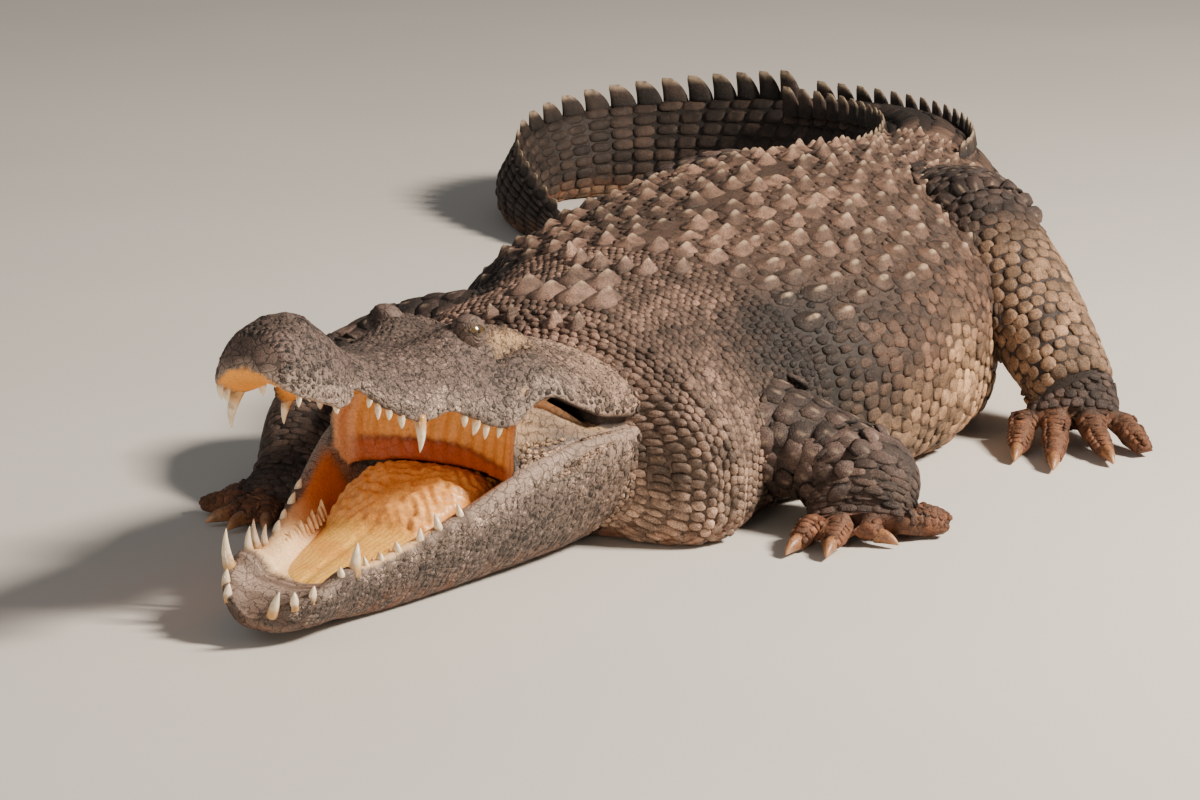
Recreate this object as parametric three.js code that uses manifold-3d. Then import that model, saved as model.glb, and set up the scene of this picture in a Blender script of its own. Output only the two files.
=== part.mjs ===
// A life-size museum model of a large, heavy crocodile, lying on its belly with its jaws agape.
// Millimetres, +Z up, floor at z = 0. The head points along -Y and the animal's left side is +X.
// Every part is lofted from named sizes, then parted from its neighbours by a thin cut.
import * as THREE from "three";
import { mergeVertices } from "three/addons/utils/BufferGeometryUtils.js";
import Module from "manifold-3d";

const wasm = await Module();
wasm.setup();

// ---------- driving dimensions ----------
const JOINT_GAP = 0.5; // the thin cut between two neighbouring parts
const SLIVER = 0.12; // detail below this is dropped from a finished part
const SHARPEST = 0.25; // how flat a corner counts at least, when a cutter is grown
const JAW_LENGTH = 565; // snout tip to jaw joint
const JAW_JOINT_HEIGHT = 151;
const NECK_START = 46; // how far behind the jaw joint the neck takes over from the head
const SNOUT_LIFT = 16.4; // degrees that the upper jaw is raised
const MANDIBLE_DROP = 10.7; // degrees that the lower jaw points down

// ---------- helpers ----------
const rad = THREE.MathUtils.degToRad;

// Value of one column of a station table at s, on a Catmull-Rom curve through the stations.
function along(table, column, s) {
  const last = table.length - 1;
  if (s <= table[0][0]) return table[0][column];
  if (s >= table[last][0]) return table[last][column];
  let i = 0;
  while (s > table[i + 1][0]) i += 1;
  const row = (k) => table[Math.min(last, Math.max(0, k))];
  const slope = (k) =>
    (row(k + 1)[column] - row(k - 1)[column]) /
    Math.max(1e-6, row(k + 1)[0] - row(k - 1)[0]);
  const span = row(i + 1)[0] - row(i)[0];
  const t = (s - row(i)[0]) / span;
  const t2 = t * t;
  const t3 = t2 * t;
  return (
    (2 * t3 - 3 * t2 + 1) * row(i)[column] +
    (t3 - 2 * t2 + t) * span * slope(i) +
    (3 * t2 - 2 * t3) * row(i + 1)[column] +
    (t3 - t2) * span * slope(i + 1)
  );
}

const signedPower = (value, power) =>
  Math.sign(value) * Math.abs(value) ** power;

const bell = (distance, reach) => Math.exp(-((distance / reach) ** 2));

// Evenly spaced values from a to b.
const steps = (a, b, count) =>
  Array.from({ length: count + 1 }, (_, i) => a + ((b - a) * i) / count);

// A closed solid from rings of equal length, each end closed by a fan to its middle, or to a tip.
function loft(rings, tip) {
  const around = rings[0].length;
  const positions = rings.flat().flatMap((p) => [p.x, p.y, p.z]);
  const index = [];
  for (let i = 0; i + 1 < rings.length; i += 1)
    for (let j = 0; j < around; j += 1) {
      const a = i * around + j;
      const b = i * around + ((j + 1) % around);
      index.push(a, b, a + around, b, b + around, a + around);
    }
  for (const last of [false, true]) {
    const end = last ? rings.length - 1 : 0;
    const middle = rings[end]
      .reduce((sum, p) => sum.add(p), new THREE.Vector3())
      .divideScalar(around);
    if (tip && last) middle.copy(tip);
    const centre = positions.length / 3;
    positions.push(middle.x, middle.y, middle.z);
    for (let j = 0; j < around; j += 1) {
      const a = end * around + j;
      const b = end * around + ((j + 1) % around);
      index.push(...(last ? [a, b, centre] : [b, a, centre]));
    }
  }
  const geometry = new THREE.BufferGeometry();
  geometry.setAttribute(
    "position",
    new THREE.Float32BufferAttribute(positions, 3),
  );
  geometry.setIndex(index);
  return solid(geometry);
}

// A three.js geometry as a manifold solid, facing out.
function solid(geometry) {
  const bare = geometry.clone();
  bare.deleteAttribute("normal");
  bare.deleteAttribute("uv");
  const merged = mergeVertices(bare, 1e-3);
  const vertProperties = merged.attributes.position.array;
  const triVerts = new Uint32Array(merged.index.array);
  const made = new wasm.Manifold(
    new wasm.Mesh({ numProp: 3, vertProperties, triVerts }),
  );
  if (made.volume() > 0) return made;
  for (let i = 0; i < triVerts.length; i += 3)
    [triVerts[i + 1], triVerts[i + 2]] = [triVerts[i + 2], triVerts[i + 1]];
  return new wasm.Manifold(
    new wasm.Mesh({ numProp: 3, vertProperties, triVerts }),
  );
}

// A manifold solid as a three.js geometry.
function geometryOf(made) {
  const mesh = made.getMesh();
  const positions = new Float32Array(mesh.numVert * 3);
  for (let i = 0; i < mesh.numVert; i += 1)
    for (let k = 0; k < 3; k += 1)
      positions[i * 3 + k] = mesh.vertProperties[i * mesh.numProp + k];
  const geometry = new THREE.BufferGeometry();
  geometry.setAttribute("position", new THREE.BufferAttribute(positions, 3));
  geometry.setIndex(new THREE.BufferAttribute(mesh.triVerts, 1));
  return geometry;
}

// The same solid with its faces moved out by the joint gap, to cut a neighbour with. A vertex
// at a sharp edge goes out further than one on a flat, so that each face that it has moves.
function grown(made) {
  const geometry = geometryOf(made);
  geometry.computeVertexNormals();
  const { position, normal } = geometry.attributes;
  const corners = geometry.index.array;
  const flatness = new Float32Array(position.count).fill(1);
  const face = new THREE.Triangle();
  const facing = new THREE.Vector3();
  const lean = new THREE.Vector3();
  for (let i = 0; i < corners.length; i += 3) {
    face.setFromAttributeAndIndices(position, ...corners.subarray(i, i + 3));
    face.getNormal(facing);
    for (const vertex of corners.subarray(i, i + 3)) {
      const match = facing.dot(lean.fromBufferAttribute(normal, vertex));
      flatness[vertex] = Math.min(flatness[vertex], match);
    }
  }
  for (let i = 0; i < position.count; i += 1) {
    const reach = JOINT_GAP / Math.max(SHARPEST, flatness[i]);
    lean.fromBufferAttribute(normal, i).multiplyScalar(reach);
    facing.fromBufferAttribute(position, i).add(lean);
    position.setXYZ(i, facing.x, facing.y, facing.z);
  }
  return solid(geometry);
}

// The largest of a solid's separate bodies.
const largest = (made) =>
  made.decompose().sort((a, b) => b.volume() - a.volume())[0];

// The same point, but no lower than the floor; a cutter goes below it by extra.
const onFloor = (p, extra = 0) => {
  p.z = Math.max(-extra, p.z);
  return p;
};

// A limb from [x, y, z, half-width, half-height] stations: oval sections across a smooth path.
// With extra, the same shape moved out, to cut a neighbour with. Each round end runs on by its
// share of the half-width, to a ring narrower by the same share.
function limb(stations, sections, around, extra = 0, [roundStart, roundEnd] = [0, 0]) {
  const centre = new THREE.CatmullRomCurve3(
    stations.map(([x, y, z]) => new THREE.Vector3(x, y, z)),
  );
  const radii = new THREE.CatmullRomCurve3(
    stations.map((station) => new THREE.Vector3(station[3], station[4], 0)),
  );
  const ring = (f, beyond, round = 0) => {
    const ahead = centre.getTangent(f);
    const side = new THREE.Vector3(ahead.y, -ahead.x, 0).normalize();
    const up = new THREE.Vector3().crossVectors(side, ahead);
    const { x: wide, y: tall } = radii.getPoint(f);
    const middle = centre.getPoint(f).addScaledVector(ahead, beyond + Math.sign(beyond) * round * wide);
    return steps(0, 2 * Math.PI, around)
      .slice(0, -1)
      .map((t) => {
        const across = side.clone().multiplyScalar((wide * (1 - round) + extra) * Math.cos(t));
        const over = up.clone().multiplyScalar((tall * (1 - round) + extra) * Math.sin(t));
        return onFloor(across.add(over).add(middle), extra);
      });
  };
  const end = Math.max(extra, 1e-3);
  const rings = steps(0, 1, sections).map((f) => ring(f, f === 0 ? -extra : f === 1 ? extra : 0));
  if (roundStart) rings.unshift(ring(0, -end, roundStart));
  if (roundEnd) rings.push(ring(1, end, roundEnd));
  return loft(rings);
}

// A round spike along points with a radius at each but the last, which is its sharp tip.
function spike(points, radii, around = 5) {
  const ahead = points.at(-1).clone().sub(points[0]).normalize();
  const side = new THREE.Vector3(ahead.y, -ahead.x, 0.01).normalize();
  const up = new THREE.Vector3().crossVectors(side, ahead);
  const rings = radii.map((radius, i) =>
    steps(0, 2 * Math.PI, around)
      .slice(0, -1)
      .map((t) =>
        onFloor(
          points[i]
            .clone()
            .addScaledVector(side, radius * Math.cos(t))
            .addScaledVector(up, radius * Math.sin(t)),
        ),
      ),
  );
  return loft(rings, points.at(-1));
}

const parts = new THREE.Group();
const solids = {};

function addPart(name, made, finish) {
  const body = largest(made.simplify(SLIVER));
  const mesh = new THREE.Mesh(
    geometryOf(body),
    new THREE.MeshStandardMaterial(finish),
  );
  mesh.name = name;
  parts.add(mesh);
  solids[name] = body;
}

// ---------- finishes ----------
const HIDE = { color: 0x7a6a5c, roughness: 0.75, metalness: 0 };
const HORN = { color: 0x8a5a3a, roughness: 0.5, metalness: 0 };
const MOUTH = { color: 0xd9a45c, roughness: 0.4, metalness: 0 };
const EYE_GLOSS = { color: 0x4a3a1c, roughness: 0.1, metalness: 0 };

// ---------- body tube ----------
// Distance behind the jaw joint, half-width, height of the widest level, height of the back,
// depth of the underside (below 0 makes a flat on the floor), squareness above and below.
const BODY = [
  [46, 196, 84, 248, -4, 2.0, 3.0],
  [72, 256, 76, 262, -8, 2.0, 4.4],
  [104, 284, 76, 274, -10, 2.0, 5.0],
  [140, 284, 80, 286, -12, 2.0, 4.8],
  [240, 268, 92, 294, -12, 2.0, 4.2],
  [340, 284, 112, 308, -12, 2.1, 4.6],
  [460, 326, 130, 318, -14, 2.15, 5.0],
  [620, 344, 140, 332, -14, 2.15, 5.0],
  [760, 326, 142, 340, -14, 2.15, 5.0],
  [870, 282, 134, 340, -14, 2.15, 4.6],
  [970, 228, 128, 331, -14, 2.1, 4.0],
  [1090, 188, 118, 315, -12, 2.0, 3.4],
  [1220, 172, 112, 296, -10, 1.9, 3.0],
  [1350, 162, 108, 282, -8, 1.85, 2.8],
  [1500, 150, 98, 266, -8, 1.8, 2.6],
  [1750, 120, 88, 246, -7, 1.7, 2.5],
  [2050, 88, 76, 214, -6, 1.6, 2.4],
  [2350, 64, 64, 180, -5, 1.6, 2.4],
  [2650, 46, 50, 146, -4, 1.6, 2.3],
  [2900, 30, 38, 104, -4, 1.6, 2.3],
  [3100, 15, 24, 54, -3, 1.7, 2.3],
  [3220, 6, 12, 26, -2, 1.8, 2.2],
];
// Distance behind the jaw joint, heading in degrees from +Y towards the animal's right.
const HEADING = [
  [0, 0],
  [250, 0],
  [600, 3],
  [850, 7],
  [1100, 10],
  [1300, 12],
  [1500, 18],
  [1650, 28],
  [1800, 41],
  [1950, 53],
  [2100, 65],
  [2250, 82],
  [2400, 104],
  [2520, 130],
  [2640, 168],
  [2760, 202],
  [2900, 225],
  [3220, 240],
];
const SPINE_STEP = 5;
const spine = [];
{
  const first = HEADING[0][0];
  const here = new THREE.Vector2(0, first);
  for (let s = first; s <= BODY.at(-1)[0] + SPINE_STEP; s += SPINE_STEP) {
    spine.push(here.clone());
    const turn = rad(along(HEADING, 1, s + SPINE_STEP / 2));
    here.x -= Math.sin(turn) * SPINE_STEP;
    here.y += Math.cos(turn) * SPINE_STEP;
  }
}

function spineAt(s) {
  const f = (s - HEADING[0][0]) / SPINE_STEP;
  const i = Math.max(0, Math.min(spine.length - 2, Math.floor(f)));
  const turn = rad(along(HEADING, 1, s));
  return {
    at: spine[i].clone().lerp(spine[i + 1], f - i),
    side: new THREE.Vector2(Math.cos(turn), Math.sin(turn)),
  };
}

// A point beside the spine: s behind the jaw joint, x to the left of it, z above the floor.
function besideSpine(s, x, z, extra = 0) {
  const { at, side } = spineAt(s);
  return onFloor(new THREE.Vector3(at.x + side.x * x, at.y + side.y * x, z), extra);
}

// A point of the body's surface, t round the section from its left side, moved out by extra.
function bodyPoint(s, t, extra) {
  const [w, middle, top, bottom, above, below] = [1, 2, 3, 4, 5, 6].map((c) =>
    along(BODY, c, s),
  );
  const up = Math.sin(t) >= 0;
  const power = 2 / (up ? above : below);
  const reach = (up ? top - middle : middle - bottom) + extra;
  return besideSpine(
    s,
    (w + extra) * signedPower(Math.cos(t), power),
    middle + reach * signedPower(Math.sin(t), power),
    extra,
  );
}

function bodyLoft(from, to, sections, around, extra = 0) {
  const gap = JOINT_GAP / 2 - extra;
  return loft(
    steps(from + gap, to - gap, sections).map((s) =>
      steps(0, 2 * Math.PI, around)
        .slice(0, -1)
        .map((t) => bodyPoint(s, t, extra)),
    ),
  );
}

// ---------- head ----------
// The upper jaw and skull: distance behind the snout tip, half-width, height of the top and of
// the lip above the palate plane, and how steeply the sides fall from the top.
const SKULL = [
  [12, 24, 32, 6, 0.8],
  [26, 48, 58, -4, 0.8],
  [54, 63, 72, -10, 0.8],
  [88, 72, 76, -14, 0.8],
  [124, 72, 68, -12, 0.85],
  [157, 61, 57, 6, 0.9],
  [192, 77, 55, -8, 0.95],
  [245, 97, 59, -18, 1],
  [300, 106, 67, -2, 1.05],
  [365, 124, 85, -12, 1.1],
  [392, 135, 92, -6, 1.12],
  [420, 144, 98, 22, 1.15],
  [445, 152, 100, 31, 1.15],
  [480, 163, 102, 24, 1.15],
  [530, 174, 104, 16, 1.1],
  [580, 174, 104, 20, 1],
  [660, 168, 108, 30, 0.9],
];
// The lower jaw: distance behind the snout tip, half-width, rim height, underside, mouth floor.
const MANDIBLE = [
  [30, 22, -10, -32, -14],
  [45, 48, -4, -44, -12],
  [80, 71, 0, -54, -10],
  [125, 80, 8, -65, -22],
  [165, 80, -6, -80, -30],
  [220, 95, -6, -96, -34],
  [300, 121, 2, -112, -38],
  [380, 145, 14, -128, -40],
  [450, 164, 20, -142, -38],
  [520, 178, 14, -154, -36],
  [580, 180, -2, -162, -36],
  [660, 168, -26, -160, -50],
];

// Head coordinates to the world: x to the left, back from the snout tip, up from the jaw line,
// with the jaw line lifted by an angle about the jaw joint.
function headPoint(x, back, up, lift) {
  const forward = JAW_LENGTH - back;
  const tilt = rad(lift);
  return new THREE.Vector3(
    x,
    up * Math.sin(tilt) - forward * Math.cos(tilt),
    forward * Math.sin(tilt) + up * Math.cos(tilt) + JAW_JOINT_HEIGHT,
  );
}
const skullPoint = (x, back, up) => headPoint(x, back, up, SNOUT_LIFT);
const mandiblePoint = (x, back, up) => onFloor(headPoint(x, back, up, -MANDIBLE_DROP));

const EYE = { x: 58, back: 380, up: 92, radius: 20 };
const EAR = { x: 77, from: 397, to: 462, wide: 8, proud: 3, deep: 6 };

// What stands up from the skull's top: the nostril disc, the brows and the table's corners.
function skullBoss(x, back) {
  const side = Math.abs(x);
  const nose = 12 * bell(Math.hypot(x, back - 84), 38);
  const brow = 24 * bell(Math.hypot(side - 46, (back - 374) * 0.6), 25);
  const table = 14 * bell(side - 62, 24) * bell(back - 450, 50);
  return nose + brow + table;
}

// How squarely the skull's sides stand.
const SKULL_POWER = 0.85;

// Height of the skull's outer surface at x beside the middle line.
function skullTop(x, back) {
  const [w, top, lip, fall] = [1, 2, 3, 4].map((c) => along(SKULL, c, back));
  const rise = Math.sqrt(1 - Math.min(1, Math.abs(x) / w) ** (2 / SKULL_POWER));
  return lip + (top - lip) * rise ** fall + skullBoss(x, back) * rise;
}

const SKULL_AROUND = 14;
const PALATE_AROUND = 4;
const LIP_THICKNESS = 14;
function skullRing(back) {
  const [w, top, lip] = [1, 2, 3].map((c) => along(SKULL, c, back));
  const rim = Math.min(LIP_THICKNESS, w * 0.2);
  const outer = steps(0, Math.PI, SKULL_AROUND).map((t) => {
    const x = w * signedPower(Math.cos(t), SKULL_POWER);
    return skullPoint(x, back, skullTop(x, back));
  });
  const vault = Math.min(1, back / 130) * (18 - Math.min(lip, 6) * 0.5);
  const palate = steps(-1, 1, PALATE_AROUND).map((f) => {
    const up = lip + 4 + vault * (1 - f * f);
    return skullPoint((w - rim) * f, back, Math.min(up, top - 12));
  });
  return [...outer, ...palate];
}

const RAMUS_AROUND = 5;
function mandibleRing(back) {
  const [w, rim, under, floor] = [1, 2, 3, 4].map((c) => along(MANDIBLE, c, back));
  const thick = Math.min(26, w * 0.42);
  const outer = steps(0, Math.PI / 2, RAMUS_AROUND).map((t) => [
    w * Math.sin(t) ** 0.5,
    under + (rim - under) * (1 - Math.cos(t)) ** 0.9,
  ]);
  const inner = [
    [w - thick * 0.5, rim + 3],
    [w - thick, rim - 4],
    [(w - thick) * 0.8, Math.min(rim - 10, floor + 6)],
    [0, Math.min(rim - 14, floor)],
  ];
  const left = [...outer, ...inner];
  const right = left
    .slice(1, -1)
    .reverse()
    .map(([x, up]) => [-x, up]);
  return [...left, ...right].map(([x, up]) => mandiblePoint(x, back, up));
}

// The larger teeth of one side, from the front: distance behind the snout tip, length.
const UPPER_TEETH = [
  [46, 20], [72, 28], [101, 38], [210, 24], [244, 44], [350, 24],
];
const LOWER_TEETH = [
  [48, 34], [72, 20], [127, 42], [272, 20], [304, 18],
];
const TOOTH_ROOT = 6; // how far a tooth starts inside its jaw

const skullSolid = loft(
  [12, 26, 52, 88, 120, 142, 157, 172, 196, 245, 295, 335, 365, 393, 416, 445, 490, 560, 660].map(
    skullRing,
  ),
);
const mandibleSolid = loft(
  [30, 45, 72, 100, 128, 155, 190, 240, 310, 380, 450, 520, 590, 660].map(mandibleRing),
);

function toothRow(table, teeth, lipColumn, point, down) {
  return teeth.flatMap(([back, length]) =>
    [-1, 1].map((hand) => {
      const x = along(table, 1, back) - 8;
      const lip = along(table, lipColumn, back);
      const levels = [[-TOOTH_ROOT, 0], [length * 0.5, 2], [length, 1]];
      return spike(
        levels.map(([out, lean]) => point(hand * (x + lean), back - lean, lip + down * out)),
        [1.6 + length * 0.15, 1 + length * 0.1],
        4,
      );
    }),
  );
}

const joined = (all) => all.reduce((sum, one) => sum.add(one));

const eyes = [-1, 1].map((hand) => {
  const globe = new THREE.SphereGeometry(EYE.radius, 8, 6);
  const { x, y, z } = skullPoint(hand * EYE.x, EYE.back, EYE.up);
  return solid(globe.translate(x, y, z));
});

// The flap over an ear slit, a narrow ridge along the edge of the skull's table, moved out by
// extra.
function earFlap(hand, extra = 0) {
  const rings = steps(0, 1, 4).map((f) => {
    const back = EAR.from - extra + (EAR.to - EAR.from + 2 * extra) * f;
    const swell = 0.35 + 0.65 * Math.sin(Math.PI * f);
    const surface = skullTop(EAR.x, EAR.from + (EAR.to - EAR.from) * f);
    return [
      [EAR.wide * swell + 2 * extra, 0],
      [0, EAR.proud * swell + 2 * extra],
      [-EAR.wide * swell - 2 * extra, 0],
      [0, -EAR.deep * swell - 2 * extra],
    ].map(([x, up]) => skullPoint(hand * (EAR.x + x), back, surface + up - 0.55 * x));
  });
  return loft(rings);
}

// The stretched skin of the cheeks and the back wall of the mouth, a wedge about the jaw joint
// in slices from the right cheek to the left, hollowed in front towards the throat. With extra,
// the same shape moved out, to cut the jaws with.
const GAPE_SLICES = [-1, -0.94, -0.8, -0.55, -0.25, 0, 0.25, 0.55, 0.8, 0.94, 1];
const GAPE_OVERSHOOT = 0.04; // share of the gape that the cutter goes past for each mm of gap
const GAPE = { corner: 396, throat: 440, rear: 556, inset: 7 };
function gapeSlice(across, extra) {
  const front = GAPE.throat + (GAPE.corner - GAPE.throat) * across ** 2;
  const beyond = extra * GAPE_OVERSHOOT;
  const point = (back, shift, share) => {
    const wide = Math.min(along(SKULL, 1, back), along(MANDIBLE, 1, back)) - GAPE.inset + extra;
    const angle = -MANDIBLE_DROP - 4 + (SNOUT_LIFT + MANDIBLE_DROP + 18) * share;
    return headPoint(across * wide, back + shift, 0, angle);
  };
  return [
    ...steps(-beyond, 1 + beyond, 5).map((share) => point(front, -6 * extra, share)),
    ...[1 + beyond, 0.5, -beyond].map((share) => point(GAPE.rear, extra, share)),
  ];
}
const gapeSolid = (extra) => loft(GAPE_SLICES.map((across) => gapeSlice(across, extra)));

const upperJaw = joined([skullSolid, ...toothRow(SKULL, UPPER_TEETH, 3, skullPoint, -1)]);
const beforeNeck = (made) => made.trimByPlane([0, -1, 0], JOINT_GAP / 2 - NECK_START);
const earCutters = [-1, 1].map((hand) => earFlap(hand, JOINT_GAP));
const sockets = joined([...eyes.map(grown), ...earCutters]);
const gapeCutter = gapeSolid(JOINT_GAP);
addPart("head_upper", beforeNeck(upperJaw).subtract(sockets).subtract(gapeCutter), HIDE);
const lowerJaw = joined([mandibleSolid, ...toothRow(MANDIBLE, LOWER_TEETH, 2, mandiblePoint, 1)]);
addPart("jaw_lower", beforeNeck(lowerJaw).subtract(gapeCutter), HIDE);
addPart("cheek_skin", gapeSolid(0), MOUTH);
addPart("eye_right", eyes[0], EYE_GLOSS);
addPart("eye_left", eyes[1], EYE_GLOSS);
addPart("ear_right", earFlap(-1), HIDE);
addPart("ear_left", earFlap(1), HIDE);

// The tongue with the lumpy mound behind it: distance behind the snout tip, half-width, top.
const TONGUE = [
  [120, 14, -22],
  [145, 38, -15],
  [200, 52, -12],
  [250, 62, -10],
  [290, 68, -2],
  [330, 74, 12],
  [370, 78, 26],
  [400, 78, 24],
  [430, 74, 2],
  [460, 70, -14],
  [500, 66, -20],
];
const TONGUE_ROOT = -52;
const tongueSolid = loft(
  [120, 145, 200, 260, 320, 370, 402, 432, 500].map((back) => {
    const [w, top] = [1, 2].map((c) => along(TONGUE, c, back));
    return steps(0, 2 * Math.PI, 10)
      .slice(0, -1)
      .map((t) => {
        const rise = Math.max(0, Math.sin(t)) ** 0.7 * (top + 40);
        const up = Math.sin(t) < 0 ? -40 + Math.sin(t) * (-40 - TONGUE_ROOT) : rise - 40;
        return mandiblePoint(w * signedPower(Math.cos(t), 0.8), back, up);
      });
  }),
);
const mouthCutter = grown(solids.jaw_lower).add(gapeCutter);
addPart("tongue", tongueSolid.subtract(mouthCutter), MOUTH);

// ---------- neck, trunk and tail ----------
const TRUNK_CUTS = {
  neck: [NECK_START, 220],
  chest: [220, 560],
  belly: [560, 960],
  hips: [960, 1260],
};
for (const [name, [from, to]] of Object.entries(TRUNK_CUTS))
  addPart(name, bodyLoft(from, to, 5, 24), HIDE);

// Blades of the tail crest: two rows as far as CREST_MERGE, then one tall row to the tip.
const WHORL = 44; // spacing of the rings of scales along the tail
const CREST_START = 1400;
const CREST_MERGE = 2180;
const CREST_END = 3190;
const CREST_FADE = 3450; // where the falling height of the single row would reach nothing
const CREST_ROWS = 0.5; // how far the two rows stand out, as a part of the half-width

function crestHeight(s) {
  const rising = 8 + 26 * ((s - CREST_START) / (CREST_MERGE - CREST_START)) ** 1.4;
  return s < CREST_MERGE ? rising : 34 * ((CREST_FADE - s) / (CREST_FADE - CREST_MERGE));
}
const crestSpots = [];
for (let s = CREST_START; s < CREST_END; s += WHORL)
  for (const row of s < CREST_MERGE ? [-1, 1] : [0]) crestSpots.push({ s, row });

function blade({ s, row }) {
  const spread = row * CREST_ROWS * along(BODY, 1, s);
  const drop = Math.abs(row) * 0.16 * (along(BODY, 3, s) - along(BODY, 2, s));
  const foot = along(BODY, 3, s) - drop - 14;
  const height = crestHeight(s);
  const ring = (ahead, behind, half, z) => [
    besideSpine(s + behind * WHORL, spread + half, z),
    besideSpine(s + behind * WHORL, spread - half, z),
    besideSpine(s + ahead * WHORL, spread - half, z),
    besideSpine(s + ahead * WHORL, spread + half, z),
  ];
  const top = besideSpine(s + 0.45 * WHORL, spread, foot + 14 + height);
  return loft([ring(-0.45, 0.42, 6 + height * 0.1, foot)], top);
}

const TAIL_CUTS = [1260, 1590, 1920, 2250, 2580, 2910, 3220];
TAIL_CUTS.slice(0, -1).forEach((from, i) => {
  const to = TAIL_CUTS[i + 1];
  const blades = crestSpots
    .filter(({ s }) => s - 0.5 * WHORL > from && s + 0.55 * WHORL < to)
    .map(blade);
  addPart(`tail_${i + 1}`, joined([bodyLoft(from, to, 4, 14), ...blades]), HIDE);
});

// ---------- legs ----------
// Stations of each leg's upper and lower part and foot: x, y, z, half-width, half-height.
// Toes: where each tip rests, whether it ends in a claw, and where it leaves the palm if not
// at the palm's end.
const LEGS = {
  front_left: {
    upper: [[215, 262, 104, 80, 74], [295, 274, 84, 72, 64], [352, 274, 66, 70, 58]],
    lower: [[356, 280, 66, 74, 62], [370, 258, 58, 76, 58], [380, 232, 42, 70, 42]],
    palm: [[378, 236, 38, 66, 36], [385, 222, 30, 68, 30], [392, 208, 22, 66, 22]],
    toes: [
      [352, 92, 1, 350, 172], [400, 104, 1, 376, 186], [450, 198, 1, 406, 198],
      [478, 276, 0, 432, 236], [462, 312, 0, 428, 264],
    ],
  },
  front_right: {
    upper: [[-205, 290, 150, 84, 84], [-300, 262, 138, 72, 70], [-345, 190, 118, 60, 58]],
    lower: [[-345, 185, 114, 60, 62], [-325, 80, 84, 56, 54], [-290, -8, 46, 50, 38]],
    palm: [[-290, -4, 42, 46, 34], [-286, -42, 27, 56, 27], [-284, -70, 17, 56, 18]],
    toes: [[-246, -136, 1], [-290, -152, 1], [-332, -138, 1], [-372, -88, 0], [-374, -28, 0]],
  },
  hind_left: {
    upper: [
      [-10, 1190, 150, 60, 60], [70, 1095, 190, 96, 90], [140, 1010, 224, 92, 82],
      [205, 925, 244, 78, 72],
    ],
    lower: [[212, 918, 240, 78, 72], [305, 858, 166, 78, 70], [405, 796, 74, 66, 56]],
    palm: [[402, 812, 66, 60, 46], [412, 790, 50, 62, 38], [424, 768, 34, 64, 26]],
    toes: [
      [404, 628, 1, 366, 738], [466, 612, 1, 406, 752], [520, 680, 1, 446, 768],
      [538, 748, 0, 478, 792],
    ],
  },
  hind_right: {
    upper: [[-130, 1120, 180, 95, 90], [-240, 1040, 210, 82, 76], [-335, 985, 192, 64, 60]],
    lower: [[-340, 985, 187, 62, 60], [-400, 1010, 120, 60, 56], [-445, 1040, 62, 52, 46]],
    palm: [[-445, 1036, 58, 50, 42], [-470, 985, 36, 58, 32], [-490, 940, 19, 60, 19]],
    toes: [[-440, 860, 1], [-495, 838, 1], [-548, 862, 1], [-575, 925, 0]],
  },
};
const CLAW_LENGTH = 40;
const KNEE_ROUND = 0.42; // how far a round knee or elbow runs on, as a share of the half-width
const ANKLE_ROUND = 0.22;

function makeLeg(name, { upper, lower, palm, toes }) {
  const [palmX, palmY, palmZ] = palm.at(-1);
  const digits = toes.map(([x, y, clawed, fromX = palmX, fromY = palmY], i) => {
    const knuckle = new THREE.Vector3(fromX, fromY, 0);
    const tip = new THREE.Vector3(x, y, 2);
    const ahead = tip.clone().sub(knuckle).setZ(0);
    const reach = ahead.length() - (clawed ? CLAW_LENGTH * 0.7 : 0);
    ahead.normalize();
    const at = (distance, z) => knuckle.clone().addScaledVector(ahead, distance).setZ(z);
    const nail = ahead.dot(at(reach, 0));
    if (clawed) {
      const bend = at(reach + CLAW_LENGTH * 0.35, 12);
      const claw = spike([at(reach - 4, 11), bend, tip], [9, 7], 5);
      addPart(`claw_${name}_${i + 1}`, claw.trimByPlane([...ahead], nail + JOINT_GAP), HORN);
    }
    const path = [at(-4, palmZ), at(reach * 0.6, 18), at(reach + 4, 11)];
    return limb(
      path.map((p, k) => [p.x, p.y, p.z, [21, 18, 12][k], [17, 17, 10][k]]),
      2,
      5,
    ).trimByPlane([...ahead.clone().negate()], -nail);
  });
  const upperEnds = [0, KNEE_ROUND];
  const lowerEnds = [KNEE_ROUND, ANKLE_ROUND];
  addPart(`${name}_upper`, limb(upper, 3, 11, 0, upperEnds).subtract(trunkCutter), HIDE);
  const aboveKnee = trunkCutter.add(limb(upper, 3, 11, JOINT_GAP, upperEnds));
  addPart(`${name}_lower`, limb(lower, 3, 11, 0, lowerEnds).subtract(aboveKnee), HIDE);
  const aboveFoot = aboveKnee.add(limb(lower, 3, 11, JOINT_GAP, lowerEnds));
  const foot = joined([limb(palm, 2, 8), ...digits]).simplify(SLIVER * 4);
  addPart(`${name}_foot`, foot.subtract(aboveFoot), HIDE);
}

const trunkCutter = joined([
  ...Object.values(TRUNK_CUTS).map((cut) => bodyLoft(...cut, 5, 24, JOINT_GAP)),
  bodyLoft(TAIL_CUTS[0], TAIL_CUTS[1], 4, 14, JOINT_GAP),
]);
for (const [name, leg] of Object.entries(LEGS)) makeLeg(name, leg);

const box = new THREE.Box3().setFromObject(parts);
parts.position.set(-(box.min.x + box.max.x) / 2, -(box.min.y + box.max.y) / 2, 0);

export default parts;
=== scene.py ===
# %% [markdown]
# # A heavy crocodile, life size, lying with its jaws agape
#
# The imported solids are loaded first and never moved. Everything made below stands in the same
# frame: metres, +Z up, the floor at z = 0, the head towards -Y and the animal's left towards +X.
# Flesh becomes one skin, and thousands of horny scales are laid over it.

# %% Load the frame
import math

import bmesh
import bpy
import numpy as np
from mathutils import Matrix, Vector
from mathutils.bvhtree import BVHTree


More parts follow.
